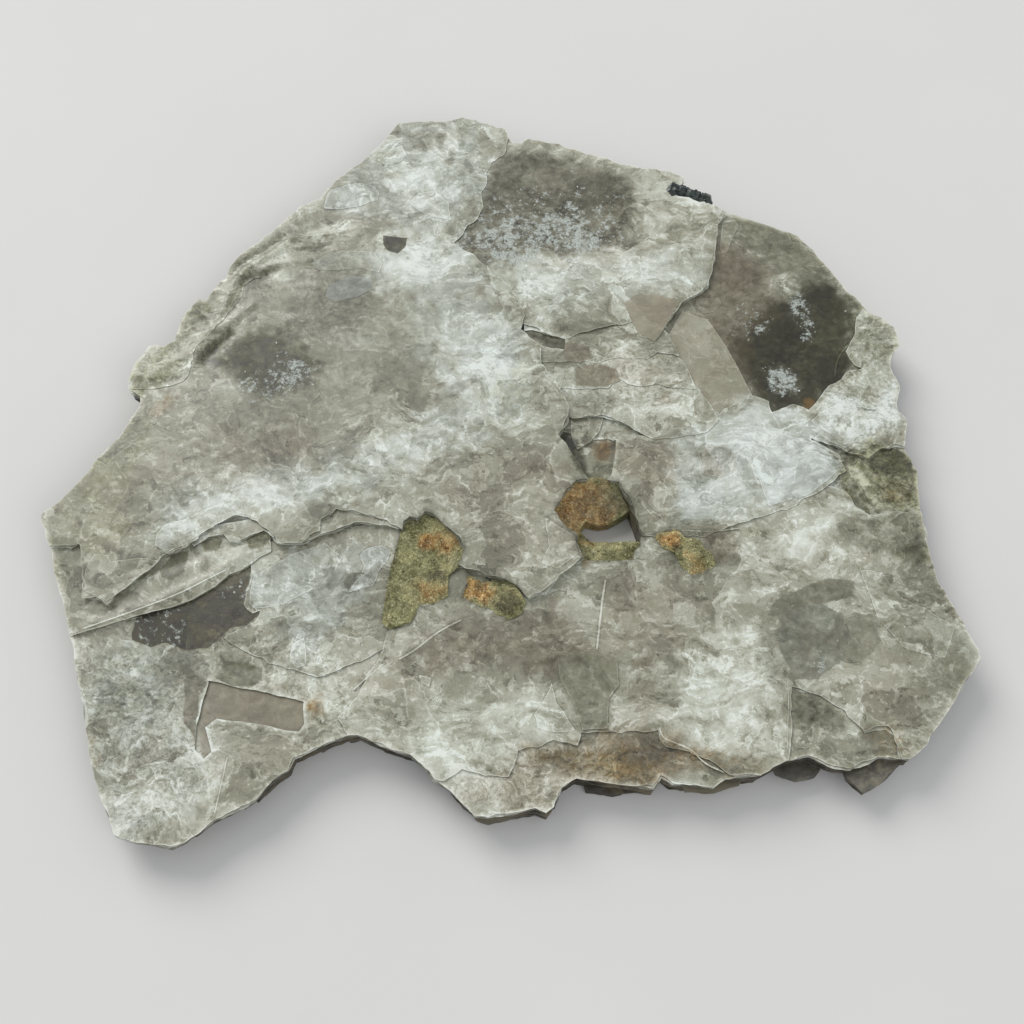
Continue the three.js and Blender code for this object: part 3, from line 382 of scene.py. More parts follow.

# What is stained or clear in the face, where shade or sky reflection is painted on it, and up to what height:
# what and how strongly from 0 to 1, the width of its soft edge in mm, and its outline.
STAINS_AND_PAINTED_LIGHT = [
    # the far window, its frost and the bright band below it
    (8.1, [
        ({"smoke": 0.76, "warm": 0.25}, 1.4, [
            (0, 62.5), (-3.5, 57), (-3.5, 53), (-4.5, 50), (-9.5, 41.5), (-5, 37), (-1, 35.5), (3, 38.5),
            (9, 39.5), (19, 40), (23, 43), (25, 50), (25, 55), (21, 58.5), (8, 62.5)]),
        ({"clear": 0.45}, 1, [
            (3.5, 56), (6, 58.5), (16, 60), (24, 59), (21, 57), (15, 56.5), (12, 54), (8, 53.5),
            (5, 54.5)]),
        ({"plain": 0.8}, 2, [(-3, 53), (-1, 61), (8, 61), (12, 58), (20, 57), (22, 51), (12, 50), (2, 51)]),
        ({"speck": 0.4}, 5, [(-8, 42), (-3, 55), (8, 57), (20, 56), (26, 50), (22, 40), (-1, 35)]),
        ({"speck": 0.85, "clear": 0.2}, 4, [(-8, 43), (0, 48), (12, 48), (22, 45), (18, 40), (-2, 35)]),
        ({"cloud": 0.62, "cool": 0.3}, 2.5, [
            (1, 34), (6, 38), (38, 40), (38, 33), (30, 30), (22, 29), (10, 25), (5, 26)]),
        ({"cloud": 0.4, "warm": 0.35}, 1.6, [(3, 35), (8, 39), (22, 40), (30, 42), (28, 38)]),
        ({"cloud": 0.5}, 3, [(25, 42), (26, 55), (32, 57), (40, 52), (40, 40), (32, 40)]),
    ]),
    # the crown: its dark and clear patches, the clouded band and the crumpled left edge
    (9, [
        ({"cloud": 0.9}, 0.5, [(-23.6, 43.6), (-22, 43.4), (-21.6, 41), (-23.4, 41)]),
        ({"smoke": 0.42, "warm": 0.3}, 1.2, [
            (-21, 67.5), (-15, 68.5), (-11, 68), (-10.5, 63.5), (-18, 63)]),
        ({"smoke": 0.74, "green": 0.9}, 2.4, [
            (-52, 16), (-46, 22), (-40, 22), (-32, 15), (-34, 11), (-43, 8)]),
        ({"speck": 0.85}, 3, [(-48, 12), (-40, 14), (-39, 17), (-34, 15), (-33, 12), (-37, 9), (-46, 9)]),
        ({"smoke": 0.3}, 3, [(-38, 35), (-26, 36), (-24, 29), (-26, 21), (-33, 19), (-39, 21)]),
        ({"smoke": 0.18, "plain": 0.5}, 5, [
            (-48, 26), (-38, 37), (-24, 38), (-8, 31), (-8, 18), (-18, 6), (-34, 0), (-50, 4)]),
        ({"warm": 0.4, "smoke": 0.26}, 5, [(-58, -2), (-46, 4), (-34, 4), (-28, -3), (-38, -9), (-60, -7)]),
        ({"smoke": 0.3}, 2, [(-66, -12), (-55, -9), (-54, -13), (-64, -19)]),
        ({"cloud": 0.84, "cool": 0.6}, 5, [
            (-58, -20), (-45, -13), (-28, -12), (2, 4), (6, 12), (4, 22), (-4, 32), (-14, 32), (-14, 18),
            (-10, 8), (-22, -2), (-42, -6), (-56, -13)]),
        ({"cloud": 0.55, "cool": 0.5}, 4, [(-30, 49), (-8, 44), (-2, 60), (-4, 69), (-20, 69), (-30, 58)]),
        ({"cloud": 1, "cool": 0.5}, 4, [(-26, 38), (-14, 44), (-6, 38), (0, 31), (-12, 29), (-22, 32)]),
        ({"cloud": 0.7}, 1.2, [(-48, -7), (-47.5, -5.5), (-46, -6), (-46, -8.5), (-47.5, -8.5)]),
        ({"cloud": 0.7}, 1, [(-41, 33), (-40, 34), (-39, 33), (-40, 32)]),
        ({"warm": 0.4, "green": 0.4}, 3, [
            (-78, -14), (-70, -5), (-62, -6), (-60, -16), (-66, -24), (-76, -18)]),
        ({"green": 0.45}, 2, [
            (-74, -10), (-68, -2), (-65, 4), (-60, 3), (-62, -4), (-68, -10), (-73, -13)]),
        ({"green": 0.5}, 1.5, [(-63, 8), (-67, 11), (-66, 15), (-63, 18), (-60, 19), (-58, 15)]),
        ({"green": 0.5}, 1.2, [(-58, 24), (-57.5, 26.5), (-51.5, 32), (-50, 30), (-52.5, 26), (-56, 22)]),
        # The next five stains are painted shade, dark olive, in the hollows of the crumpled folds.
        ({"smoke": 0.85, "green": 0.5}, 1, [
            (-55, 16.5), (-52, 20.5), (-49.5, 23), (-48.5, 21.5), (-53.5, 15)]),
        ({"smoke": 0.7, "green": 0.4}, 1, [(-49, 33), (-45, 36), (-41.5, 36), (-43, 33), (-47, 31)]),
        ({"smoke": 0.6, "green": 0.4}, 0.9, [(-39, 38.5), (-35.5, 41), (-32.5, 41), (-34.5, 39)]),
        ({"smoke": 0.7, "green": 0.5}, 0.9, [(-59, 27), (-56, 27.5), (-53, 25.5), (-54, 24), (-57.5, 25)]),
        ({"smoke": 0.4, "green": 0.4}, 1.4, [
            (-50, 36), (-40, 46), (-34, 49), (-32.5, 46), (-37, 42.5), (-43, 40)]),
        ({"rust": 0.6}, 1.4, [(-61.5, 5.5), (-59.5, 9), (-58, 8.5), (-58.5, 6.5), (-60, 5)]),
        ({"smoke": 0.3}, 3, [(-24, 44), (-14, 46), (-12, 50), (-20, 50), (-26, 47)]),
        ({"warm": 0.4}, 3, [(-14, -8), (-4, -4), (8, -2), (13, -12), (10, -22), (0, -24)]),
        ({"warm": 0.6, "smoke": 0.2}, 0.7, [
            (3, -4.6), (6.4, -4.2), (8, -6), (11.6, -5), (12.4, -6.8), (4, -6.8)]),
        ({"green": 0.3}, 3, [(-2, 14), (5, 15), (6, 8), (0, 5), (-5, 8)]),
        ({"foil": 0.5}, 2, [
            (-67, 8), (-65, 18), (-56, 26), (-50, 36), (-40, 46), (-30, 47), (-28, 42), (-40, 36),
            (-47, 28), (-49, 20), (-57, 12)]),
        ({"green": 0.35}, 2, [
            (-66, 9), (-62, 20), (-54, 29), (-46, 40), (-40, 42), (-48, 30), (-54, 18), (-60, 10)]),
        ({"green": 0.4, "smoke": 0.2}, 3, [(-76, -20), (-72, -22), (-69, -26), (-72, -29), (-75, -25)]),
    ]),
    # the broken steps and the slit
    (7.75, [
        ({"smoke": 0.3}, 1.5, [(11, 9), (18, 10), (20, 7), (16, 5), (12, 5)]),
        ({"warm": 0.5}, 2, [(20, 17), (28, 16), (32, 12), (28, 11), (21, 12)]),
        ({"warm": 0.8, "smoke": 0.2}, 0.8, [(27.2, 7), (28, 9.4), (30, 10.6), (30.6, 9.8), (30.2, 7.2)]),
        ({"foil": 0.5}, 3, [(12, 18), (30, 20), (36, 4), (20, 4), (10, 8)]),
    ]),
    (7.5, [
        ({"smoke": 0.66, "green": 0.3, "plain": 0.8}, 1.0, [
            (3, 22), (4, 24.6), (8, 22), (15, 20), (14, 15), (9, 15), (8, 19)]),
    ]),
    # the strip beside the smoky window, and the window itself
    (7.05, [
        ({"warm": 0.5, "plain": 0.75}, 0.8, [
            (30, 22), (32.4, 28), (38.2, 25.4), (41.4, 19), (45, 9.6), (38.4, 4.4), (34, 10)]),
    ]),
    (6.95, [
        ({"smoke": 0.95, "plain": 0.6}, 2.2, [
            (47, 28), (51, 31), (56, 33), (61, 33), (65, 29), (65, 23), (62, 11), (52, 5), (46, 6),
            (41, 18)]),
        ({"smoke": 0.5, "warm": 0.9, "plain": 0.9}, 2.5, [
            (33, 33), (34, 39), (39, 43), (45, 41), (50, 35), (51, 28), (46, 22), (45, 12), (46, 6),
            (42, 12), (38, 24)]),
        ({"green": 0.55}, 2.5, [(56, 26), (57, 33), (62, 32), (66, 28), (64, 21), (59, 18)]),
        ({"green": 0.4, "smoke": 0.3, "plain": 0.7}, 3, [
            (42, 49), (49, 48), (57, 43), (62, 36), (57, 33), (45, 43)]),
        ({"speck": 0.85, "clear": 0.1}, 1.2, [
            (47, 15), (50.5, 16), (53, 13.5), (54, 10), (50, 9), (48, 10)]),
        ({"speck": 0.7}, 1.2, [(51.5, 30.5), (55, 31), (57.5, 27.5), (56.5, 21), (55, 20.5), (54, 25)]),
        ({"speck": 0.45}, 2, [(41, 28), (47, 30), (50, 24), (47, 20), (42, 21)]),
        ({"rust": 0.9}, 0.5, [(53.6, 8), (54.6, 8.8), (55.8, 8.5), (55.6, 7), (54.4, 6.4), (53.6, 7)]),
        ({"cloud": 0.5, "clear": 0.5}, 2, [(50, 33), (54, 35), (55, 31), (53, 29), (50, 31)]),
    ]),
    # the right sheet and its cracked edge
    (9, [
        ({"cloud": 0.85, "cool": 0.6}, 3, [
            (30, -16), (52, -12), (60, -5), (56, 4), (44, 9), (38, 4), (30, 0)]),
        ({"cloud": 0.75, "cool": 0.5}, 2, [(56, 2), (58, 10), (66, 7), (70, 12), (71, 4), (63, -1)]),
        ({"warm": 0.65, "smoke": 0.15}, 2, [
            (20, -1), (24, 0), (28, -1), (31, -4), (29, -9), (25, -11), (20, -5)]),
        ({"warm": 0.4}, 3, [(24, -10), (29, -9), (29, -16), (25, -17)]),
        ({"smoke": 0.62, "green": 0.75, "foil": 0.8}, 1.4, [
            (59.5, -2.5), (65, 0), (69, -1), (72.5, -4), (73, -9), (72, -14), (68, -13.5), (63.5, -14),
            (60, -11), (58.5, -7)]),
        ({"cloud": 0.9, "clear": 0.8}, 0.7, [(60.5, -4.5), (62.5, -5.5), (64, -8.5), (63, -8.6), (61, -6.4)]),
        ({"cloud": 0.8, "clear": 0.7}, 0.6, [
            (62.6, -9.5), (64.6, -10.5), (65.4, -13.5), (64, -13), (63, -11)]),
        ({"rust": 0.35}, 1.2, [(66.5, -9.5), (68.5, -9.5), (68.5, -11), (66.5, -11)]),
        ({"smoke": 0.34, "green": 0.3}, 2, [
            (58, -15), (66, -14), (72, -15), (72, -20), (64, -21), (58, -19)]),
        ({"green": 0.8, "smoke": 0.3}, 1, [
            (65.5, -20.5), (69, -20), (72.5, -20.5), (72.5, -23), (66, -22)]),
        ({"warm": 0.7}, 0.6, [(58.5, -21.2), (62.6, -21.5), (62.6, -22.8), (58.4, -22.7)]),
        ({"cloud": 0.6}, 4, [(40, -17), (58, -11), (60, -20), (52, -23), (40, -21)]),
        ({"foil": 0.6}, 3, [(54, 4), (60, 12), (70, 16), (71, 2), (62, -3)]),
        ({"green": 0.4, "smoke": 0.2, "foil": 0.6}, 1.6, [
            (66, 27), (70, 26), (72, 20), (70, 16), (66, 15), (63, 18)]),
        # the front sheet: the round window, brown patches, the lens and the broken near edge
        ({"speck": 0.5}, 1.6, [(51, -38), (55, -38), (56, -41), (52, -43), (50, -41)]),
        ({"smoke": 0.25, "green": 0.2}, 3, [
            (64, -35), (68, -34), (76, -37), (77, -41), (72, -46), (67, -44)]),
        ({"smoke": 0.34}, 1, [(42.5, -33.5), (45, -33), (45, -38.5), (47.5, -44), (44, -44.5), (42, -41)]),
        ({"smoke": 0.3}, 2, [(64, -25), (72, -25), (75, -33), (70, -32), (65, -29)]),
        ({"warm": 0.3}, 4, [(52, -43), (62, -38), (70, -42), (66, -50), (56, -49)]),
        ({"smoke": 0.45, "plain": 0.7}, 0.8, [
            (47.4, -45.6), (50, -46), (52.6, -47.4), (55, -49.6), (56, -53), (51, -51.6), (46.8, -50)]),
        ({"smoke": 0.3}, 1.5, [(57, -52), (60, -52), (62, -53), (63, -56), (58, -57)]),
        ({"cloud": 0.62}, 3, [
            (26, -41), (34, -36), (44, -35), (44, -44), (46, -50), (45, -57), (34, -57), (27, -52)]),
        ({"warm": 0.5}, 4, [(18, -26), (27, -25), (34, -30), (28, -40), (22, -42), (16, -38)]),
        ({"smoke": 0.3}, 2.4, [(29, -27), (33, -28), (32, -31), (29, -30)]),
        ({"warm": 0.7, "smoke": 0.45}, 1.4, [(20.5, -40), (24, -39.5), (24.5, -41.5), (21.5, -42)]),
        ({"warm": 0.7, "smoke": 0.42}, 3, [
            (-14, -36), (9, -31), (15, -36), (15, -39), (9, -42), (-2, -41), (-12, -42)]),
        ({"warm": 0.8, "smoke": 0.35}, 1.4, [(3.5, -40.5), (9, -40), (9, -42), (4.5, -42.5)]),
        ({"green": 0.3, "smoke": 0.2, "plain": 0.6}, 0.9, [
            (9, -40), (10.5, -38.5), (16, -39.5), (19, -40.5), (19, -44.5), (17.5, -47), (17, -52),
            (13, -52.5), (11.5, -48), (9.5, -43.5)]),
        ({"smoke": 0.8, "warm": 0.9, "rust": 0.15, "foil": 0.4}, 2, [
            (4, -55), (18, -54), (24, -58), (22, -61), (12, -60), (6, -57)]),
        ({"rust": 0.2}, 1.4, [(13, -55.5), (18, -56), (21, -59.5), (15, -59)]),
        ({"warm": 0.9, "smoke": 0.45, "rust": 0.2}, 2, [
            (17, -53), (26, -52), (33, -56), (27, -60), (18, -60)]),
        ({"warm": 0.7, "foil": 0.6}, 3, [
            (-8, -61), (2, -56), (12, -53), (19, -53), (24, -60), (6, -65), (-5, -65)]),
        ({"warm": 0.45}, 3, [(18, -43), (24, -44), (27, -50), (20, -52)]),
        ({"rust": 0.25, "smoke": 0.2}, 2.4, [(28, -56), (38, -55), (42, -58), (34, -59)]),
        ({"rust": 0.25}, 1.6, [(58, -53), (63, -50), (65, -56), (60, -56)]),
        ({"cloud": 0.7}, 3, [(-14, -46), (4, -47), (9, -52), (0, -59), (-8, -59), (-14, -54)]),
        # round the rock
        ({"rust": 0.55}, 0.9, [(13.5, -22.5), (14.5, -22.5), (14, -24), (13.5, -24)]),
        ({"warm": 0.75, "smoke": 0.55}, 1.2, [
            (33.5, -17.5), (39.5, -17.5), (41, -20.5), (39.5, -23), (36.5, -23.5)]),
        ({"green": 0.4}, 1.6, [(36, -17), (44, -16), (46, -18), (40, -19)]),
        ({"smoke": 0.85, "green": 0.6}, 0.7, [
            (10.3, 1.5), (11.8, 1.9), (13.4, -1), (14.6, -3.8), (15.4, -7), (13.6, -7.6)]),
        ({"green": 0.6}, 0.8, [(15.8, -3.4), (19.4, -3.4), (19, -7), (15.4, -7.2)]),
        ({"rust": 0.85}, 0.7, [
            (15.8, -0.6), (16.8, 0.3), (18.3, 0.5), (19.6, -0.4), (19.8, -2.3), (18.5, -3.4),
            (16.8, -3.4)]),
    ]),
    # the dark pane under the left strip, and the clear mica below it
    (6.6, [
        ({"green": 0.9}, 2, [(-54, -30), (-48, -28), (-47, -35), (-50, -38), (-54, -37)]),
        ({"speck": 0.55}, 2, [(-61.5, -33), (-54, -30.5), (-51.5, -38.5), (-57, -38), (-61, -36.5)]),
        ({"speck": 0.4}, 1.8, [(-50, -29), (-43, -24.5), (-41, -28), (-43, -32), (-47, -29.5)]),
        ({"warm": 0.3, "smoke": 0.15}, 1.2, [(-38, -43), (-32, -44), (-31.5, -47), (-38, -45.5)]),
        ({"rust": 0.8}, 0.7, [(-31, -47.6), (-30, -47.2), (-29.4, -48.2), (-30, -49), (-31, -48.6)]),
        ({"rust": 0.3}, 1.6, [(-32, -47), (-29, -46), (-28, -49), (-30, -50), (-32, -49)]),
        ({"rust": 0.8}, 0.8, [(-65.8, -53.6), (-64.8, -53.8), (-65, -54.8), (-65.8, -54.6)]),
        ({"rust": 0.5}, 0.8, [(-65, -56.4), (-64, -56.4), (-64.2, -57.6), (-65, -57.4)]),
        ({"green": 0.3, "smoke": 0.2, "cool": 0.5}, 3, [
            (-66, -36), (-52, -40), (-53, -48), (-58, -52), (-64, -50)]),
        ({"smoke": 0.35}, 2, [(-65, -51), (-61, -51), (-59, -57), (-62, -57)]),
        ({"foil": 0.62, "cool": 0.3}, 3, [
            (-70, -38), (-60, -38), (-50, -40), (-44, -58), (-50, -66), (-60, -70)]),
        ({"cloud": 0.16, "warm": 0.3}, 4, [
            (-64, -60), (-58, -69), (-50, -70), (-34, -58), (-32, -54), (-58, -52)]),
    ]),
    (6.2, [
        ({"warm": 0.8, "smoke": 0.2, "plain": 0.95}, 0.8, [
            (-51, -42), (-30, -45), (-30, -54), (-45, -52), (-47, -59)]),
    ]),
    # the left inner sheet
    (7.15, [
        ({"foil": 0.5}, 3, [(-46, -38), (-34, -35), (-26, -40), (-24, -52), (-34, -50), (-46, -44)]),
        ({"smoke": 0.34}, 2.4, [(-25, -24), (-21, -25), (-20, -31), (-25, -32), (-28, -28)]),
        ({"smoke": 0.3}, 2, [(-37, -36), (-33, -35), (-35, -38), (-37, -40)]),
        ({"warm": 0.4}, 3, [(-24, -38), (-16, -38), (-14, -46), (-22, -50), (-28, -44)]),
        ({"cloud": 0.4, "cool": 0.6}, 3, [(-42, -26), (-30, -20), (-22, -22), (-26, -34), (-34, -40)]),
        ({"cloud": 0.4}, 3, [(-34, -46), (-24, -52), (-16, -52), (-24, -42), (-32, -41)]),
    ]),
]
HIGHEST = 9

# The sheets of the face: name, outline, height of the top in mm, height of the foot, how much the torn
# edge wanders, and the tone of the sheet from 0, dull, to 1, silver, partly its own and partly painted sheen.
SHEETS = [
    ("rumple", RUMPLE, 8.34, 8.0, 0.5, 0.5),
    ("crown", CROWN, 8.2, 6.3, 0.6, 0.5),
    ("far_sheet", FAR_SHEET, 7.95, 6.65, 0.5, 0.5),
    ("leaf_step", LEAF_STEP, 7.75, 6.7, 0.3, 0.6),
    ("strip_step", STRIP_STEP, 7.7, 6.9, 0.3, 0.55),
    ("broken_back", BROKEN_BACK, 7.65, 7.3, 0.4, 0.45),
    ("broken_middle", BROKEN_MIDDLE, 7.5, 7.1, 0.42, 0.55),
    ("broken_front", BROKEN_FRONT, 7.35, 6.9, 0.4, 0.62),
    ("right_sheet", RIGHT_SHEET, 7.2, 6.3, 0.55, 0.57),
    ("lens_flake", LENS_FLAKE, 7.1, 6.7, 0.2, 0.45),
    ("left_strip", LEFT_STRIP, 7.1, 6.2, 0.16, 0.5),
    ("narrow_strip", NARROW_STRIP, 7.0, 6.6, 0.06, 0.68),
    ("far_rim", FAR_RIM, 7.08, 6.6, 0.35, 0.4),
    ("front_sheet", FRONT_SHEET, 6.85, 6.2, 0.5, 0.57),
    ("left_inner", LEFT_INNER_SHEET, 6.7, 6.2, 0.6, 0.5),
    ("far_right", FAR_RIGHT_SHEET, 6.75, 6.2, 0.36, 0.45),
    ("glassy_chip", GLASSY_CHIP, 6.75, 5.6, 0.08, 0.3),
    ("corner_step", CORNER_STEP, 6.47, 6.0, 0.35, 0.2),
    ("base", OUTLINE, 6.4, 5.0, 0.35, 0.44),
]
UPPER_SHEETS = 8
# The plan ends here, on both sides of its middle.
PLAN_REACH = np.array([79, 72])
# The pale band along the outer edge of the face, and how far apart the leaves and the points of their lower
# faces lie.
EDGE_RIM = 1.3
LEAF_DROP = 0.34
ROOT_SPACING = 2.6
# How high films and fine ridges stand on their sheet.
FILM_RISE = 0.035
RIDGE_RISE = 0.02
# Floors of the windows: name, window, height, tone.
FLOORS = [
    ("slit_floor", SLIT, 7.45, 0.35),
    ("groove_floor", GROOVE, 6.2, 0.35),
    ("long_floor", LONG_PANE, 6.08, 0.4),
]
WINDOWS_OF = {
    "crown": (SLIT,),
    "far_sheet": (SLIT,),
    "broken_back": (SLIT,),
    "broken_front": (GROOVE,),
    "right_sheet": (EDGE_PANE, GROOVE),
    "front_sheet": (EDGE_PANE, GROOVE),
    "base": (LONG_PANE, GROOVE),
}
# The slot in the far edge that holds the tourmaline.
CRYSTAL_CENTRE = (35.9, 53.0, 6.6)
CRYSTAL_TURN = (0.2, 0.04, -0.4)
CRYSTAL_SLOT = [
    (42, 52.6), (40, 50.2), (38.8, 50.9), (37.4, 50.7), (35.4, 51.9), (33.4, 52.3), (32.2, 53.4),
    (32.8, 54.8), (34.2, 55.2), (35.2, 57.6), (39, 57),
]
ROCK_POCKETS = (HOLE_RECESS, LEFT_PATCH, MIDDLE_PATCH, RIGHT_PATCH)
POCKETS = (*ROCK_POCKETS, CRYSTAL_SLOT)
# How high the floor of each pocket lies.
ROCK_FLOOR = 4.3
POCKET_FLOORS = (0, ROCK_FLOOR, ROCK_FLOOR, ROCK_FLOOR, 4.79)

# The body under the face: how far the leaves are drawn in, from the floor up, and how large the foot is,
# because the book thins out towards its left and near corners.
BODY_TOP = 5.4
BODY_LEAF = 0.2
LAYER_DRAW = [1.6, 1.3, 1.1, 0.6, 1.5, 1.0, 0.7, 0.9, 1.3, 0.8, 0.6, 0.4, 0.9]
LAYER_SHARE = [0.74, 0.76, 0.8, 0.82, 0.87, 0.9, 0.95, 1.0, 1.06, 1.15, 1.3, 1.3, 1.3]
FOOT = [
    (-66, -8), (-58, 18), (-46, 40), (-26, 60), (-8, 78), (34, 72), (62, 52), (82, 26), (84, -8),
    (82, -34), (72, -56), (58, -84), (-14, -84), (-34, -66), (-56, -52),
]
# Leaves that stick out of the near side below the face sheets: outline, top, foot.
NEAR_LEAVES = [
    ([(42, -54), (44, -58.6), (47, -59.6), (50.4, -59.2), (53, -56)], 2.9, 1.9),
    ([(54, -55), (55, -59.6), (57.4, -62), (60.4, -60.4), (65.4, -56), (62, -52)], 4.9, 3.4),
    ([(12, -57), (13.6, -60.9), (18, -61.5), (22, -60.8), (24, -57)], 1.2, 0.3),
    ([(28, -57), (29.4, -61.2), (34, -61.4), (38, -60), (40, -57)], 3.3, 2.4),
]


def hashed(i, j, seed):
    """Repeatable pseudo-random numbers from 0 to 1, one for each whole-number place."""
    h = (i * 374761393 + j * 668265263 + seed * 1442695041) & 0xFFFFFFFF
    h = ((h ^ (h >> 13)) * 1274126177) & 0xFFFFFFFF
    return ((h ^ (h >> 16)) & 0xFFFF) / 65535.0


def ripple(x, y, size, seed=0):
    """Smooth noise from -1 to 1 over the plan, with lumps of the given size."""
    u, v = np.asarray(x, float) / size, np.asarray(y, float) / size
    i, j = np.floor(u).astype(np.int64), np.floor(v).astype(np.int64)
    fu, fv = u - i, v - j
    fu, fv = fu * fu * (3 - 2 * fu), fv * fv * (3 - 2 * fv)
    near = hashed(i, j, seed) * (1 - fu) + hashed(i + 1, j, seed) * fu
    far = hashed(i, j + 1, seed) * (1 - fu) + hashed(i + 1, j + 1, seed) * fu
    return 2 * (near * (1 - fv) + far * fv) - 1


def smooth(low, high, value):
    """0 below low, 1 above high and an even curve between them."""
    t = np.clip((value - low) / (high - low), 0, 1)
    return t * t * (3 - 2 * t)


def inside_by(points, outline):
    """How far each point lies inside an outline in mm, negative outside it."""
    points, loop = np.asarray(points, float), np.asarray(outline, float)
    nearest = np.full(len(points), 1e9)
    inside = np.zeros(len(points), bool)
    x, y = points[:, 0], points[:, 1]
    for (ax, ay), (bx, by) in zip(loop, np.roll(loop, -1, axis=0)):
        dx, dy = bx - ax, by - ay
        along = np.clip(((x - ax) * dx + (y - ay) * dy) / (dx * dx + dy * dy + 1e-12), 0, 1)
        nearest = np.minimum(nearest, (x - ax - along * dx) ** 2 + (y - ay - along * dy) ** 2)
        if ay != by:
            crosses = (ay > y) != (by > y)
            inside ^= crosses & (x < ax + (y - ay) * dx / dy)
    return np.where(inside, 1, -1) * np.sqrt(nearest)


def signed_area(loop):
    """The area inside a loop, negative when the loop runs clockwise."""
    loop = np.asarray(loop, float)
    ahead = np.roll(loop, -1, axis=0)
    return 0.5 * float(np.sum(loop[:, 0] * ahead[:, 1] - ahead[:, 0] * loop[:, 1]))


def torn(outline, seed, wander, step=0.55, push=0.0, unevenness=0.0):
    """The outline in short steps, wandering as torn mica does, and pushed outwards unevenly."""
    loop = np.asarray(outline, float)
    points, way = [], []
    travelled = 0.0
    for a, b in zip(loop, np.roll(loop, -1, axis=0)):
        length = float(np.hypot(*(b - a)))
        count = max(1, round(length / step))
        t = np.arange(count)[:, None] / count
        points.append(a + (b - a) * t)
        way.append(travelled + t[:, 0] * length)
        travelled += length
    points, way = np.concatenate(points), np.concatenate(way)
    reach = min(3, len(points) // 6)
    along = np.roll(points, -reach, axis=0) - np.roll(points, reach, axis=0)
    along /= np.linalg.norm(along, axis=1)[:, None] + 1e-9
    outward = np.stack([along[:, 1], -along[:, 0]], 1) * (1 if signed_area(loop) > 0 else -1)
    shift = wander * (
        0.6 * ripple(way, 0 * way, 4.6, seed)
        + 0.45 * ripple(way, 0 * way, 1.9, seed + 1)
        + 0.3 * ripple(way, 0 * way, 0.9, seed + 2)
    )
    shift += push * (1 + unevenness * ripple(way, 0 * way, 7.0, seed + 3))
    return points + outward * shift[:, None]


def scatter(low, high, spacing, seed):
    """A jittered triangular grid of points over a rectangle of the plan."""
    rows = np.arange(low[1], high[1], spacing * 0.866)
    columns = np.arange(low[0], high[0], spacing)
    x, y = np.meshgrid(columns, rows)
    x = x + (np.arange(len(rows)) % 2)[:, None] * spacing / 2
    i, j = np.meshgrid(np.arange(len(columns)), np.arange(len(rows)))
    x = x + spacing * 0.26 * (2 * hashed(i, j, seed) - 1)
    y = y + spacing * 0.26 * (2 * hashed(i, j, seed + 1) - 1)
    return np.stack([x.ravel(), y.ravel()], 1)


def triangulated(loops, wanted, fill):
    """Triangulates the plan between loops and keeps each triangle whose set of loops `wanted` likes.

    Returns the points, the triangles and the number of each given point among the points.
    """
    given, faces = [], []
    for loop in loops:
        faces.append(list(range(len(given), len(given) + len(loop))))
        given.extend(loop)
    given.extend(fill)
    points, _, triangles, sources, _, owners = delaunay_2d_cdt(given, [], faces, 0, 1e-4)
    kept = [t for t, own in zip(triangles, owners) if wanted(set(own))]
    place = {source: k for k, several in enumerate(sources) for source in several}
    return np.array([tuple(p) for p in points]), np.array(kept), place


def anticlockwise(loop):
    """A loop turned to run anticlockwise, and whether it ran so before."""
    left = signed_area(loop) > 0
    loop = np.asarray(loop, float)
    return (loop if left else loop[::-1]).tolist(), left


def rim_edges(triangles):
    """The directed edges that only one triangle uses."""
    edges = np.concatenate([triangles[:, [0, 1]], triangles[:, [1, 2]], triangles[:, [2, 0]]])
    known = {tuple(e) for e in edges.tolist()}
    return [e for e in known if (e[1], e[0]) not in known]


def unpinched(triangles):
    """Leaves out triangles until no point joins two parts of the plan by itself."""
    while True:
        starts = np.array([a for a, _ in rim_edges(triangles)])
        numbers, uses = np.unique(starts, return_counts=True)
        pinches = numbers[uses > 1]
        if not len(pinches):
            return triangles
        triangles = triangles[~np.isin(triangles, pinches).any(1)]


def rim_loops(triangles):
    """The closed loops of points round a triangulated plan, each with the plan on its left."""
    ahead = dict(sorted(rim_edges(triangles)))
    loops = []
    while ahead:
        after = next(iter(ahead.values()))
        loop = []
        while after in ahead:
            loop.append(after)
            after = ahead.pop(after)
        loops.append(loop)
    return loops


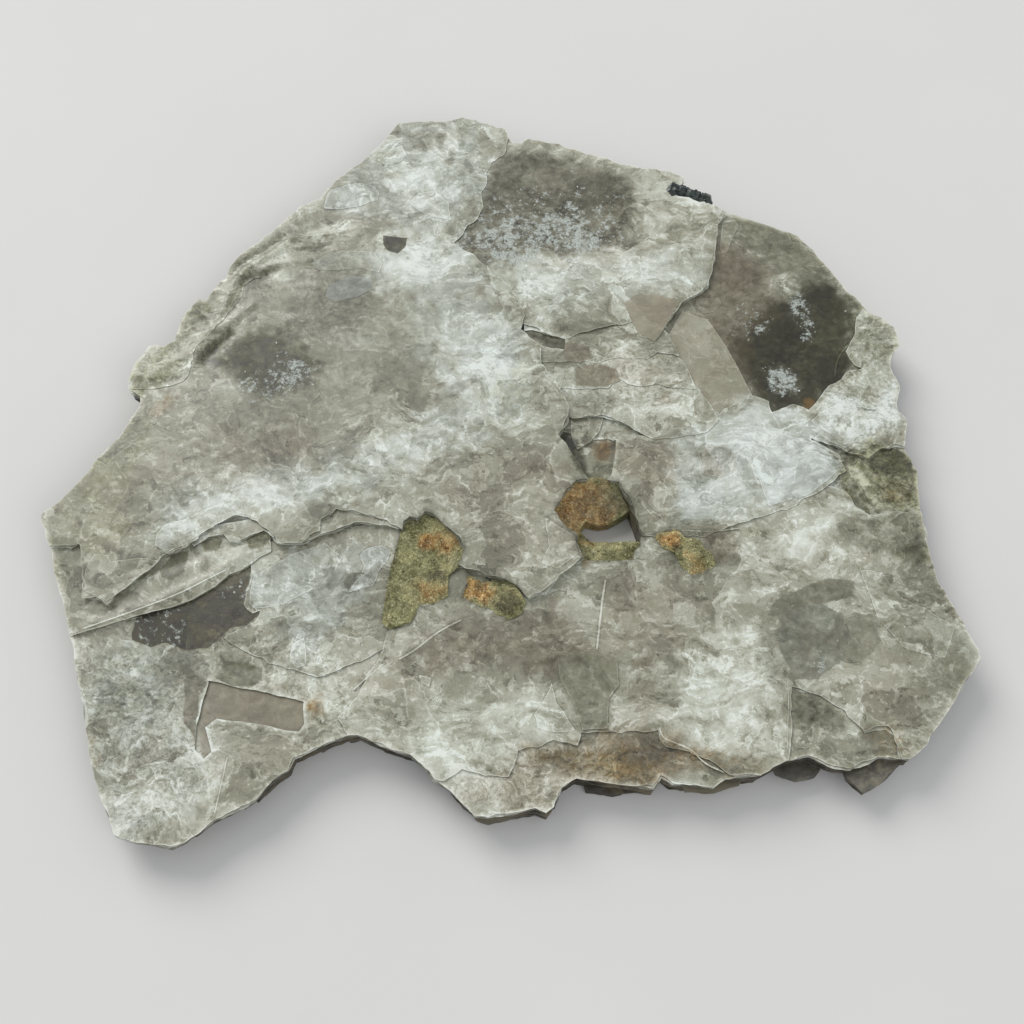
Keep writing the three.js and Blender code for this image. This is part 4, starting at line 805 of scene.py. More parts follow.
class Plan:
    """The plan of one leaf: a coarse lower face and a fine upper one that share their rims."""

    def __init__(self, loops, cuts, roots, fill):
        flat = [anticlockwise(loop)[0] for loop in (*loops, *cuts)]
        needed, barred = set(range(len(loops))), set(range(len(loops), len(flat)))
        self.low, triangles, _ = triangulated(
            flat, lambda own: needed <= own and not own & barred, roots.tolist()
        )
        self.low_triangles = unpinched(triangles)
        rings = rim_loops(self.low_triangles)
        turned = [anticlockwise(self.low[ring]) for ring in rings]
        outer = {k for k, (_, left) in enumerate(turned) if left}
        inner = set(range(len(turned))) - outer
        self.top, self.top_triangles, numbers = triangulated(
            [ring for ring, _ in turned], lambda own: own & outer and not own & inner, fill.tolist()
        )
        self.place, count = {}, 0
        for ring, (_, left) in zip(rings, turned):
            for k, point in enumerate(ring if left else ring[::-1]):
                self.place[point] = numbers[count + k]
            count += len(ring)
        self.rim = np.zeros(len(self.low), bool)
        self.rim[list(self.place)] = True

    def solid(self, name, lower, upper, **marks):
        """The closed mesh between the two faces at the given heights, with marks on its faces."""
        n = len(self.top)
        rim = np.array(sorted(rim_edges(self.low_triangles)))
        above = np.vectorize(self.place.get)(rim)
        walls = np.concatenate([
            np.stack([above[:, 1], above[:, 0], rim[:, 0] + n], 1),
            np.stack([above[:, 1], rim[:, 0] + n, rim[:, 1] + n], 1),
        ])
        faces = np.concatenate([self.top_triangles, self.low_triangles[:, ::-1] + n, walls])
        places = np.concatenate([np.column_stack([self.top, upper]), np.column_stack([self.low, lower])])
        used, faces = np.unique(faces, return_inverse=True)
        faces = faces.reshape(-1, 3)
        mesh = bpy.data.meshes.new(name)
        mesh.from_pydata(places[used].tolist(), [], faces.tolist())
        for label, value in marks.items():
            mark = mesh.attributes.new(label, "FLOAT", "FACE")
            mark.data.foreach_set("value", np.full(len(faces), value))
        return mesh


def relief(x, y):
    """The gentle bending and the folds that all the sheets share, in mm."""
    height = 0.11 * ripple(x, y, 34, 1) + 0.05 * ripple(x, y, 11, 2)
    bent = np.column_stack([x + 0.5 * ripple(x, y, 2.6, 8), y + 0.5 * ripple(x, y, 2.6, 9)])
    for rise, half, line in FOLDS:
        low, high = np.min(line, 0) - half, np.max(line, 0) + half
        near = np.flatnonzero(((bent > low) & (bent < high)).all(1))
        if len(near):
            height[near] += rise * smooth(-half, 0, inside_by(bent[near], line + line[-2:0:-1]))
    return height


def hammered(x, y, seed):
    """The fine unevenness of one sheet's own surface, in mm."""
    return 0.022 * ripple(x, y, 3.4, seed) + 0.012 * ripple(x, y, 1.5, seed + 1)


def sheet_under(x, y):
    """The highest sheet at a place of the plan."""
    for sheet in SHEETS:
        open_here = any(inside_by([(x, y)], w)[0] > 0 for w in WINDOWS_OF.get(sheet[0], ()))
        if not open_here and inside_by([(x, y)], sheet[1])[0] > 0:
            return sheet
    return None


def band(line, width):
    """The outline of a thin curved strip along a line, drawn in at its ends."""
    line = np.asarray(line, float)
    for _ in range(2 if len(line) > 2 else 0):
        inner = np.stack([0.75 * line[:-1] + 0.25 * line[1:], 0.25 * line[:-1] + 0.75 * line[1:]], 1)
        line = np.concatenate([line[:1], inner.reshape(-1, 2), line[-1:]])
    along = np.gradient(line, axis=0)
    along /= np.linalg.norm(along, axis=1)[:, None] + 1e-9
    side = np.column_stack([along[:, 1], -along[:, 0]]) * width / 2
    side[[0, -1]] *= 0.4
    return np.concatenate([line + side, (line - side)[::-1]]).tolist()


def droop_of(sheet):
    """How far a sheet sinks at its torn edge, in mm."""
    return 0.0 if sheet[1] is OUTLINE else min(0.35, 0.3 * (sheet[2] - sheet[3]))


def bed_of(sheet):
    """The seed of a sheet's own unevenness, which the films on it follow."""
    return 900 + 3 * SHEETS.index(sheet)


def reach_of(outline):
    """The lowest and the highest corner of what an outline covers of the plan."""
    return np.maximum(np.min(outline, 0), -PLAN_REACH), np.minimum(np.max(outline, 0), PLAN_REACH)


class Book:
    """Collects leaves, from the highest to the lowest, and joins them into one closed body."""

    def __init__(self, spacing):
        self.spacing = spacing
        self.covers = []
        self.meshes = []
        self.edges = [torn(OUTLINE, 50 + k, 0.36, push=-0.3, unevenness=1.0) for k in range(4)]

    @staticmethod
    def kept(points, outline, holes, covers, margin):
        """The points that lie in what shows of a leaf, a margin away from its edges."""
        points = points[inside_by(points, outline) > margin]
        for shape in holes:
            points = points[inside_by(points, shape) < -margin]
        points = points[inside_by(points, OUTLINE) > margin + 0.2]
        for cover in covers:
            points = points[inside_by(points, cover) < 0.9]
        return points

    def fill(self, outline, loops, holes, covers, seed):
        """Points all over what shows of a leaf, with a row close along its torn edge."""
        points = scatter(*reach_of(outline), self.spacing, seed)
        points = [self.kept(points, outline, holes, covers, 0.5)]
        for loop in loops:
            row = torn(loop, 0, 0.0, 0.6, push=-0.17)
            row = row[inside_by(row, loop) > 0.13]
            if loop is not loops[0]:
                row = row[inside_by(row, outline) > 0.5]
            for shape in holes:
                row = row[inside_by(row, shape) < -0.3]
            for cover in covers:
                row = row[inside_by(row, cover) < 0.6]
            points.append(row)
        return np.concatenate(points)

    def add(
        self, name, outline, top, foot, wander, tone, holes=(), push=0.0, fine=True, lip=0.3, step=0.5,
        covers=None, swell=0.0, brink=None, droop=0.0, film=-1, bed=None,
    ):
        """One leaf. A fine leaf has points all over what shows of it, the others only a few.

        The edge wanders and is pushed outwards, and `lip` is the leaf's thickness there. The leaf sinks by
        up to `droop` towards the outline `brink`, as thin mica does, and `bed` is the seed of its unevenness.
        """
        number = len(self.meshes)
        seed = 100 + 7 * number
        loops = [torn(outline, seed, wander, step, push, 1.2)]
        if inside_by(outline, OUTLINE).min() < 1.2:
            loops.append(self.edges[number % len(self.edges)])
        low, high = np.min(loops[0], 0), np.max(loops[0], 0)
        holes = [h for h in holes if (np.min(h, 0) < high).all() and (np.max(h, 0) > low).all()]
        cuts = [torn(h, seed + 5, 0.32 if h in POCKETS else 0.2, 0.5) for h in holes]
        covers = self.covers if covers is None else covers
        fill = self.fill(outline, loops, holes, covers, seed) if fine else np.empty((0, 2))
        roots = scatter(*reach_of(loops[0]), ROOT_SPACING, seed + 3)
        roots = self.kept(roots, outline, holes, (), 1.0 - min(push, 0))
        plan = Plan(loops, cuts, roots, fill)

        def surface(x, y):
            height = top + relief(x, y) + hammered(x, y, seed if bed is None else bed)
            height += swell * (ripple(x, y, 5.0, seed + 8) + 0.6 * ripple(x, y, 2.2, seed + 9))
            if brink is not None:
                depth = inside_by(np.column_stack([x, y]), brink)
                share = np.clip(0.45 + 0.9 * ripple(x, y, 6.0, 14), 0, 1)
                height -= droop * share * (1 - smooth(-0.4, 2.2, depth))
            return height

        upper, upper_there = surface(*plan.top.T), surface(*plan.low.T)
        gap = lip * (0.75 + 0.5 * ripple(*plan.low.T, 3.2, seed + 4))
        lower = np.where(plan.rim, upper_there - gap, np.minimum(foot, upper_there - gap))
        self.meshes.append(plan.solid(name, lower, upper, silver=tone, height=top, film=film))

    def lay(self, sheets, number, outline, middle, rise, wander, tone, **shape):
        """A film or a ridge on the sheet that shows at its middle, where that is one of these sheets."""
        sheet = sheet_under(*middle)
        if sheet in sheets:
            name, edge, top = sheet[:3]
            self.add(
                "film", outline, top + rise, top - 0.5, wander, tone, (*WINDOWS_OF.get(name, ()), *POCKETS),
                covers=(), brink=edge, droop=droop_of(sheet), film=number, bed=bed_of(sheet), **shape,
            )

    def add_films(self, sheets):
        """The thin films and the fine ridges that lie on the sheets."""
        for number, (tone, _, outline) in enumerate(FILMS):
            middle = np.mean(outline, 0)
            self.lay(sheets, number, outline, middle, FILM_RISE, 0.22, tone, push=0.1, swell=0.01)
        for number, (tone, width, line) in enumerate(LINES, len(FILMS)):
            strip = band(line, width)
            middle = strip[len(strip) // 4]
            self.lay(sheets, number, strip, middle, RIDGE_RISE, 0.05, tone, fine=False)

    def add_sheets(self, sheets):
        """Sheets with the edges of their own leaves below them."""
        for sheet in sheets:
            name, outline, top, foot, wander, tone = sheet
            holes = (*WINDOWS_OF.get(name, ()), *POCKETS)
            edge = {"brink": outline, "droop": droop_of(sheet)}
            self.add(name, outline, top, foot, wander, tone, holes, lip=0.2, bed=bed_of(sheet), **edge)
            level = top - LEAF_DROP
            while level > foot + 0.1:
                self.add(
                    name + "_under", outline, level, level - 0.6, wander, tone - 0.1, holes, push=-0.15,
                    fine=False, step=0.7, **edge,
                )
                level -= LEAF_DROP
            self.covers.append(outline)

    def joined(self, finish):
        """All the leaves as one closed mesh."""
        collection = bpy.data.collections.new("leaves")
        for mesh in self.meshes:
            collection.objects.link(bpy.data.objects.new(mesh.name, mesh))
        mesh = grown(None, joining_tree(), {"Leaves": collection, "Finish": finish})
        for holder in list(collection.objects):
            bpy.data.objects.remove(holder)
        bpy.data.collections.remove(collection)
        return mesh


class Wiring:
    """Short ways to place nodes in a tree and wire them."""

    def __init__(self, tree):
        self.tree = tree

    def put(self, socket, value):
        """Wires a socket to another one, or sets its value."""
        if isinstance(value, bpy.types.NodeSocket):
            self.tree.links.new(value, socket)
        else:
            socket.default_value = value

    def node(self, kind, inputs=None, **settings):
        """A node with its settings and with its inputs wired or set."""
        made = self.tree.nodes.new(kind)
        for name, value in settings.items():
            setattr(made, name, value)
        for name, value in (inputs or {}).items():
            self.put(made.inputs[name], value)
        return made

    def group(self, tree, **inputs):
        inputs = {name.replace("_", " "): value for name, value in inputs.items()}
        return self.node("ShaderNodeGroup", inputs, node_tree=tree).outputs

    def attribute(self, name):
        return self.node("ShaderNodeAttribute", attribute_name=name).outputs["Fac"]

    def math(self, operation, *values, clamp=False):
        made = self.node("ShaderNodeMath", dict(enumerate(values)), operation=operation, use_clamp=clamp)
        return made.outputs[0]

    def times(self, a, b):
        return self.math("MULTIPLY", a, b)

    def total(self, base, *terms):
        """A base plus each term, given as a value, its middle and its weight."""
        for value, middle, weight in terms:
            base = self.math("ADD", base, self.times(self.math("SUBTRACT", value, middle), weight))
        return base

    def span(self, value, low, high, to_low=0.0, to_high=1.0):
        """Turns the numbers between two bounds into the numbers between two others, along an even curve."""
        values = dict(enumerate((value, low, high, to_low, to_high)))
        return self.node("ShaderNodeMapRange", values, interpolation_type="SMOOTHSTEP").outputs[0]

    def vector(self, operation, a, b):
        second = "Scale" if operation == "SCALE" else 1
        return self.node("ShaderNodeVectorMath", {0: a, second: b}, operation=operation).outputs[0]

    def upright(self, vector):
        return self.node("ShaderNodeSeparateXYZ", {0: vector}).outputs["Z"]

    def mapped(self, place, turn, scale):
        """A place that is scaled and then turned in the plan, by degrees."""
        turn = (0, 0, math.radians(turn))
        return self.node("ShaderNodeMapping", {"Vector": place, "Rotation": turn, "Scale": scale}).outputs[0]

    def noise(self, place, scale, detail=3.0, roughness=0.55, distortion=0.0, colour=False):
        made = self.node("ShaderNodeTexNoise", {
            "Vector": place, "Scale": scale, "Detail": detail, "Roughness": roughness,
            "Distortion": distortion,
        })
        return made.outputs["Color" if colour else "Fac"]

    def drift(self, place, scale, detail, roughness):
        """A wandering vector whose parts run from -0.5 to 0.5."""
        noise = self.noise(place, scale, detail, roughness, colour=True)
        return self.vector("SUBTRACT", noise, (0.5, 0.5, 0.5))

    def moved(self, place, drift, by):
        return self.vector("ADD", place, self.vector("SCALE", drift, by))

    def ridge(self, noise, sharp):
        """Thin lines where a noise passes its middle."""
        swing = self.math("ABSOLUTE", self.math("MULTIPLY_ADD", noise, 2.0, -1.0))
        return self.span(swing, 0.0, 1.0 - sharp, 1.0, 0.0)

    def cells(self, place, scale, feature="F1", distance="EUCLIDEAN"):
        inputs = {"Vector": place, "Scale": scale}
        return self.node("ShaderNodeTexVoronoi", inputs, feature=feature, distance=distance).outputs

    def lots(self, cells):
        """The three random numbers that each cell's colour holds."""
        return self.node("ShaderNodeSeparateColor", {0: cells["Color"]}).outputs

    def blend(self, share, a, b):
        inputs = {"Factor": share, 6: a, 7: b}
        return self.node("ShaderNodeMix", inputs, data_type="RGBA", clamp_factor=True).outputs[2]

    def ramp(self, value, *colours):
        """Blends evenly through colours, from the first at 0 to the last at 1."""
        made = self.node("ShaderNodeValToRGB", {0: value})
        stops = made.color_ramp.elements
        for k, colour in enumerate(colours):
            stop = stops[k] if k < 2 else stops.new(1.0)
            stop.position = k / (len(colours) - 1)
            stop.color = colour
        return made.outputs[0]

    def bump(self, shader, height, strength, distance):
        """Gives a shader the relief of a height, whose unit is a distance in mm."""
        inputs = {"Strength": strength, "Distance": distance * MM, "Height": height}
        self.put(shader.inputs["Normal"], self.node("ShaderNodeBump", inputs).outputs["Normal"])


def grown(base, tree, settings):
    """Runs a Geometry Nodes tree on a mesh, or on none, and returns its result as a plain mesh."""
    carrier = bpy.data.objects.new("carrier", base or bpy.data.meshes.new("carrier"))
    bpy.context.scene.collection.objects.link(carrier)
    modifier = carrier.modifiers.new("grow", "NODES")
    modifier.node_group = tree
    for item in tree.interface.items_tree:
        if item.in_out == "INPUT" and item.name in settings:
            modifier[item.identifier] = settings[item.name]
    view = bpy.context.evaluated_depsgraph_get()
    mesh = bpy.data.meshes.new_from_object(carrier.evaluated_get(view))
    bpy.data.objects.remove(carrier)
    return mesh


def new_tree(name, kind, inputs, outputs):
    """A new node tree with named inputs, each given as name, kind and default: its wiring and its inputs."""
    tree = bpy.data.node_groups.new(name, kind)
    for label, socket_kind, value in inputs:
        socket = tree.interface.new_socket(label, in_out="INPUT", socket_type="NodeSocket" + socket_kind)
        if value is not None:
            socket.default_value = value
    for label, socket_kind in outputs:
        tree.interface.new_socket(label, in_out="OUTPUT", socket_type="NodeSocket" + socket_kind)
    wire = Wiring(tree)
    return wire, wire.node("NodeGroupInput").outputs


def geometry_tree(name, inputs):
    """A new Geometry Nodes tree: its wiring and its inputs."""
    return new_tree(name, "GeometryNodeTree", inputs, [("Geometry", "Geometry")])


def ended(wire, given, shape):
    """Ends a tree in Realize Instances and Set Material."""
    real = wire.node("GeometryNodeRealizeInstances", {"Geometry": shape})
    dress = {"Geometry": real.outputs[0], "Material": given["Finish"]}
    wire.node("NodeGroupOutput", {"Geometry": wire.node("GeometryNodeSetMaterial", dress).outputs[0]})
    return wire.tree


def joining_tree():
    """Joins all the leaves of a collection into one closed body."""
    wire, given = geometry_tree("Join leaves", [("Leaves", "Collection", None), ("Finish", "Material", None)])
    inputs = {"Collection": given["Leaves"], "Separate Children": True}
    leaves = wire.node("GeometryNodeCollectionInfo", inputs)
    union = wire.node(
        "GeometryNodeMeshBoolean", {"Mesh": leaves.outputs[0]}, operation="UNION", solver="MANIFOLD"
    )
    return ended(wire, given, union.outputs["Mesh"])


def scattering_tree():
    """Scatters small flat flakes or grains over a mesh, as thickly as its 'loose' attribute says."""
    wire, given = geometry_tree("Scatter bits", [
        ("Geometry", "Geometry", None),
        ("Bit", "Object", None),
        ("Density", "Float", 0.0),
        ("Smallest", "Float", 0.4),
        ("Largest", "Float", 1.0),
        ("Tilt", "Float", 0.15),
        ("Seed", "Int", 1),
        ("Finish", "Material", None),
    ])
    seed, tilt = given["Seed"], given["Tilt"]
    loose = wire.node("GeometryNodeInputNamedAttribute", {"Name": "loose"}, data_type="FLOAT")
    points = wire.node("GeometryNodeDistributePointsOnFaces", {
        "Mesh": given["Geometry"],
        "Density": wire.times(loose.outputs["Attribute"], given["Density"]),
        "Seed": seed,
    })
    back = wire.times(tilt, -1.0)
    low = wire.node("ShaderNodeCombineXYZ", {"X": back, "Y": back})
    high = wire.node("ShaderNodeCombineXYZ", {"X": tilt, "Y": tilt, "Z": math.tau})
    corners = {0: low.outputs[0], 1: high.outputs[0], "Seed": seed}
    turn = wire.node("FunctionNodeRandomValue", corners, data_type="FLOAT_VECTOR")
    limits = {2: given["Smallest"], 3: given["Largest"], "Seed": seed}
    size = wire.node("FunctionNodeRandomValue", limits, data_type="FLOAT")
    bits = wire.node("GeometryNodeInstanceOnPoints", {
        "Points": points.outputs["Points"],
        "Instance": wire.node("GeometryNodeObjectInfo", {"Object": given["Bit"]}).outputs["Geometry"],
        "Rotation": turn.outputs[0],
        "Scale": size.outputs[1],
    })
    return ended(wire, given, bits.outputs["Instances"])


KINDS = ("cloud", "cool", "smoke", "warm", "green", "rust", "speck", "foil", "plain")


def painted(places, heights, stains):
    """How strongly each kind of stain or painted light shows at each place of the plan, on sheets of the
    given heights.
    """
    values = {kind: np.zeros(len(places)) for kind in KINDS}
    wobble = ripple(*places.T, 2.1, 31) + 0.6 * ripple(*places.T, 0.9, 32)
    for highest, several in stains:
        for mixture, edge, outline in several:
            low, high = np.min(outline, 0) - 1.5 * edge, np.max(outline, 0) + 1.5 * edge
            near = np.flatnonzero(((places > low) & (places < high)).all(1) & (heights <= highest))
            if not len(near):
                continue
            depth = inside_by(places[near], outline) + 0.45 * edge * wobble[near]
            mask = smooth(-edge, edge, depth)
            for kind, strength in mixture.items():
                if kind == "clear":
                    values["smoke"][near] *= 1 - strength * mask
                else:
                    values[kind][near] = 1 - (1 - values[kind][near]) * (1 - strength * mask)
    return values


def read(items, label, width=1, kind=np.float32):
    """One property of all the points, edges, corners or faces of a mesh."""
    values = np.empty(width * len(items), kind)
    items.foreach_get(label, values)
    return values.reshape(-1, width) if width > 1 else values


def mark_points(mesh, **marks):
    """Gives the points of a mesh one value each for every mark."""
    for label, values in marks.items():
        mesh.attributes.new(label, "FLOAT", "POINT").data.foreach_set("value", values)


def move(mesh, change):
    """Changes the places of all the points of a mesh."""
    mesh.vertices.foreach_set("co", change(read(mesh.vertices, "co", 3)).ravel())
    mesh.update()


def in_frame(places):
    """The frame's own places, in metres, of points given in the plan's millimetres."""
    places = places * MM
    places[:, :2] += SHIFT * MM
    return places


def in_book(places):
    """The places drawn in to the box of the book."""
    return np.clip(places, *BOOK_BOX)


def plan_of(places):
    """The plan places, in mm, of points in the frame's own place."""
    return places[:, :2] / MM - SHIFT


def owners(mesh):
    """The face that each corner of a mesh belongs to."""
    return np.repeat(np.arange(len(mesh.polygons)), read(mesh.polygons, "loop_total", kind=np.int32))


def lowest_mark(mesh, label):
    """The lowest value of a mark on the faces that meet at each point of joined leaves."""
    of_face = read(mesh.attributes[label].data, "value")
    mesh.attributes.remove(mesh.attributes[label])
    lowest = np.full(len(mesh.vertices), np.inf)
    np.minimum.at(lowest, read(mesh.loops, "vertex_index", kind=np.int32), of_face[owners(mesh)])
    return lowest


def largest_part(mesh):
    """Leaves out what isn't joined to the largest part of a mesh."""
    a, b = read(mesh.edges, "vertices", 2, np.int32).T
    label = np.arange(len(mesh.vertices))
    while True:
        low = np.minimum(label[a], label[b])
        before = label.copy()
        np.minimum.at(label, a, low)
        np.minimum.at(label, b, low)
        label = label[label]
        if (label == before).all():
            break
    keep = label == np.bincount(label).argmax()
    if not keep.all():
        body = bmesh.new()
        body.from_mesh(mesh)
        body.verts.ensure_lookup_table()
        loose = [body.verts[int(k)] for k in np.flatnonzero(~keep)]
        bmesh.ops.delete(body, geom=loose, context="VERTS")
        body.to_mesh(mesh)
        body.free()


def painted_rim_light_and_crease_shade(mesh, places):
    """Marks the points where a level face meets a steep one: at the steep one's head for a painted highlight
    along the rim, at its foot for painted shade in the crease.
    """
    levelness = read(mesh.polygons, "normal", 3)[:, 2]
    height = read(mesh.polygons, "center", 3)[:, 2]
    ends = read(mesh.edges, "vertices", 2, np.int32)
    middle = places[ends[:, 0], 2] * 0.5 + places[ends[:, 1], 2] * 0.5
    order = np.argsort(read(mesh.loops, "edge_index", kind=np.int32), kind="stable")
    pairs = owners(mesh)[order].reshape(-1, 2)
    rim, crease = np.zeros(len(places)), np.zeros(len(places))
    for level, steep in (pairs.T, pairs.T[::-1]):
        meet = (levelness[level] > 0.8) & (np.abs(levelness[steep]) < 0.6)
        below = height[steep] < middle
        rim[ends[meet & below].ravel()] = 1
        crease[ends[meet & ~below].ravel()] = 1
    return rim, crease


def soften(mesh, angle):
    """Shades a mesh smoothly between its edges that are sharper than an angle."""
    mesh.shade_smooth()
    mesh.set_sharp_from_angle(angle=angle)


def finished_book(mesh, name, shade_angle):
    """Brings joined leaves to the frame's place and size, paints them and makes them an object."""
    move(mesh, lambda places: in_book(in_frame(places)))
    largest_part(mesh)
    places = read(mesh.vertices, "co", 3)
    plan = plan_of(places)
    values = painted(plan, lowest_mark(mesh, "height"), STAINS_AND_PAINTED_LIGHT)
    films = np.round(lowest_mark(mesh, "film"))
    for number, (_, mixture, _) in enumerate(FILMS):
        for kind, strength in mixture.items():
            values[kind][films == number] = strength
    outer = 1 - smooth(0.2, EDGE_RIM, inside_by(plan, OUTLINE))
    values["cloud"] = np.maximum(values["cloud"], 0.5 * outer)
    values["warm"] = np.maximum(values["warm"], 0.4 * outer)
    values["smoke"] *= 1 - 0.8 * outer
    # The rim mark is a painted highlight on the heads of steps, the crease mark painted shade at their feet.
    values["rim"], values["crease"] = painted_rim_light_and_crease_shade(mesh, places)
    values["rim"] *= 1 - 0.85 * values["plain"]
    # No painted rim highlight by the rock pockets, and painted shade on the mica round their edges.
    for pocket in ROCK_POCKETS:
        close = smooth(-0.9, -0.3, inside_by(plan, pocket))
        values["rim"] *= 1 - 0.9 * close
        values["smoke"] = np.maximum(values["smoke"], 0.5 * close)
    mark_points(mesh, **values)
    soften(mesh, shade_angle)
    return shown(mesh, name, "mica", "mica_book")


def shown(mesh, name, slot, *nodes):
    """Makes a mesh a piece of the part that stands for CAD nodes."""
    mesh.name = name
    piece = bpy.data.objects.new(name, mesh)
    bpy.context.scene.collection.objects.link(piece)
    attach(piece, "root")
    if nodes:
        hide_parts(*nodes)
    return piece


def body_leaves(finish):
    """The stacked leaves of the book under its face sheets."""
    book = Book(3.0)
    count = round(BODY_TOP / BODY_LEAF)
    layers = range(len(LAYER_SHARE))
    for k, height in enumerate(np.linspace(0, len(LAYER_SHARE) - 1, count)):
        share = np.interp(height, layers, LAYER_SHARE)
        draw = np.interp(height, layers, LAYER_DRAW) * (0.7 + 0.6 * hashed(k, 0, 9))
        bottom, top = max(0, k * BODY_LEAF - 0.05), (k + 1) * BODY_LEAF
        edge = torn(OUTLINE, 300 + 5 * k, 0.35, 0.9, push=-draw, unevenness=0.6)
        foot = torn(np.array(FOOT) * share, 400 + 5 * k, 0.5, 0.9, unevenness=0.6)
        holes = [hole for hole, floor in zip(POCKETS, POCKET_FLOORS) if top > floor]
        cuts = [torn(hole, 500 + k, 0.12, 0.8) for hole in holes]
        tone = 0.1 + 0.5 * float(hashed(k, 3, 4))
        book.meshes.append(body_leaf([edge, foot], cuts, bottom, top, k, tone))
    for outline, top, foot in NEAR_LEAVES:
        for head in np.arange(top, foot, -0.3):
            number = len(book.meshes)
            draw = 0.7 * hashed(number, 1, 8)
            edge = torn(outline, 600 + number, 0.3, 0.7, push=-draw, unevenness=0.8)
            book.meshes.append(body_leaf([edge], [], head - 0.22, head, number, 0.45))
    return book.joined(finish)


def body_leaf(loops, cuts, bottom, top, number, tone):
    """One coarse leaf of the body between two heights."""
    roots = scatter(np.min(OUTLINE, 0), np.max(OUTLINE, 0), 6.0, number)
    for loop in loops:
        roots = roots[inside_by(roots, loop[::3]) > 1.5]
    for cut in cuts:
        roots = roots[inside_by(roots, cut[::2]) < -1.5]
    plan = Plan(loops, cuts, roots, roots)
    sag = 0.04 * ripple(*plan.top.T, 5.0, number) * (bottom > 0)
    lower = np.full(len(plan.low), bottom)
    return plan.solid("leaf", lower, top - 0.02 + sag, silver=tone, height=top, film=-1)


def paint(red, green, blue):
    """A colour given from 0 to 255 as a shader colour."""
    steps = (c / 255 for c in (red, green, blue))
    return (*(c / 12.92 if c <= 0.04045 else ((c + 0.055) / 1.055) ** 2.4 for c in steps), 1.0)


def shader_group(name, inputs, outputs):
    """A new shader node group: its wiring, its inputs and its outputs."""
    wire, given = new_tree(name, "ShaderNodeTree", inputs, [(label, "Float") for label in outputs])
    return wire, given, wire.node("NodeGroupOutput").inputs


def mottle_group():
    """Overlapping leaf tones and their seams, wisps, crinkles, streaks, pale spots and frost, from 0 to 1."""
    wire, given, out = shader_group(
        "Leaf mottle",
        [("Place", "Vector", None), ("Patch Size", "Float", 8.0), ("Raggedness", "Float", 1.0)],
        [
            "Patch", "Fine Patch", "Hue", "Seam", "Billow", "Wisp", "Crinkle", "Streak", "Spot", "Fleck",
            "Frost", "Grain",
        ],
    )
    place, rag = given["Place"], given["Raggedness"]
    fine = wire.drift(place, 0.45, 5, 0.62)
    bent = wire.moved(place, wire.drift(place, 0.09, 2, 0.5), wire.times(rag, 12.0))
    curl = wire.moved(bent, fine, wire.times(rag, 3.2))
    scale = wire.math("DIVIDE", 1.0, given["Patch Size"])
    leaves = wire.lots(wire.cells(curl, scale))
    wire.put(out["Patch"], leaves[0])
    wire.put(out["Hue"], leaves[1])
    slanted = wire.mapped(curl, -30, (0.6, 1.1, 1.0))
    small = wire.cells(slanted, wire.times(scale, 2.4), distance="MANHATTAN")
    wire.put(out["Fine Patch"], wire.lots(small)[0])
    border = wire.cells(curl, scale, "DISTANCE_TO_EDGE")["Distance"]
    shows = wire.span(wire.noise(place, 0.22, 4, 0.6), 0.46, 0.56)
    wire.put(out["Seam"], wire.times(wire.span(border, 0.0, 0.035, 1.0, 0.0), shows))
    wire.put(out["Billow"], wire.span(wire.noise(bent, 0.1, 6, 0.64), 0.36, 0.64))
    wisp = wire.ridge(wire.noise(bent, 0.2, 3, 0.5), 0.95)
    wire.put(out["Wisp"], wire.times(wisp, wire.span(wire.noise(place, 0.15, 3), 0.46, 0.6)))
    broad = wire.ridge(wire.noise(wire.mapped(curl, -38, (0.28, 0.8, 0.8)), 1.0, 6, 0.66), 0.6)
    fold = wire.ridge(wire.noise(place, 0.9, 4, 0.6), 0.6)
    crinkle = wire.math("MULTIPLY_ADD", broad, 0.65, wire.times(fold, 0.35))
    wire.put(out["Crinkle"], wire.math("POWER", crinkle, 1.8))
    grained = wire.mapped(bent, -26, (0.07, 0.5, 0.5))
    wire.put(out["Streak"], wire.span(wire.noise(grained, 1.0, 6, 0.66), 0.36, 0.64))
    spots = wire.cells(wire.moved(place, fine, 0.9), 0.7)
    picked = wire.math("GREATER_THAN", wire.lots(spots)[0], 0.7)
    wire.put(out["Spot"], wire.times(wire.span(spots["Distance"], 0.1, 0.26, 1.0, 0.0), picked))
    crumb = wire.lots(wire.cells(wire.moved(slanted, fine, 1.2), 1.2, distance="MANHATTAN"))[0]
    pale, dark = wire.span(crumb, 0.84, 0.9), wire.span(crumb, 0.06, 0.12, 0.8, 0.0)
    wire.put(out["Fleck"], wire.math("SUBTRACT", pale, dark))
    wire.put(out["Frost"], wire.noise(place, 0.8, 8, 0.8))
    wire.put(out["Grain"], wire.span(wire.noise(place, 3.0, 6, 0.75), 0.3, 0.7))
    return wire.tree


def ragged_group():
    """Breaks up the soft edge of a painted mask with noise."""
    wire, given, out = shader_group(
        "Ragged mask",
        [("Mask", "Float", 0.0), ("Place", "Vector", None), ("Grain", "Float", 0.6), ("Break", "Float", 1.0)],
        ["Mask"],
    )
    mask = given["Mask"]
    noise = wire.math("SUBTRACT", wire.noise(given["Place"], given["Grain"], 5, 0.62, 0.4), 0.5)
    room = wire.times(mask, wire.math("SUBTRACT", 1.0, mask))
    shift = wire.times(wire.times(noise, room), wire.times(given["Break"], 7.0))
    wire.put(out["Mask"], wire.math("ADD", mask, shift, clamp=True))
    return wire.tree


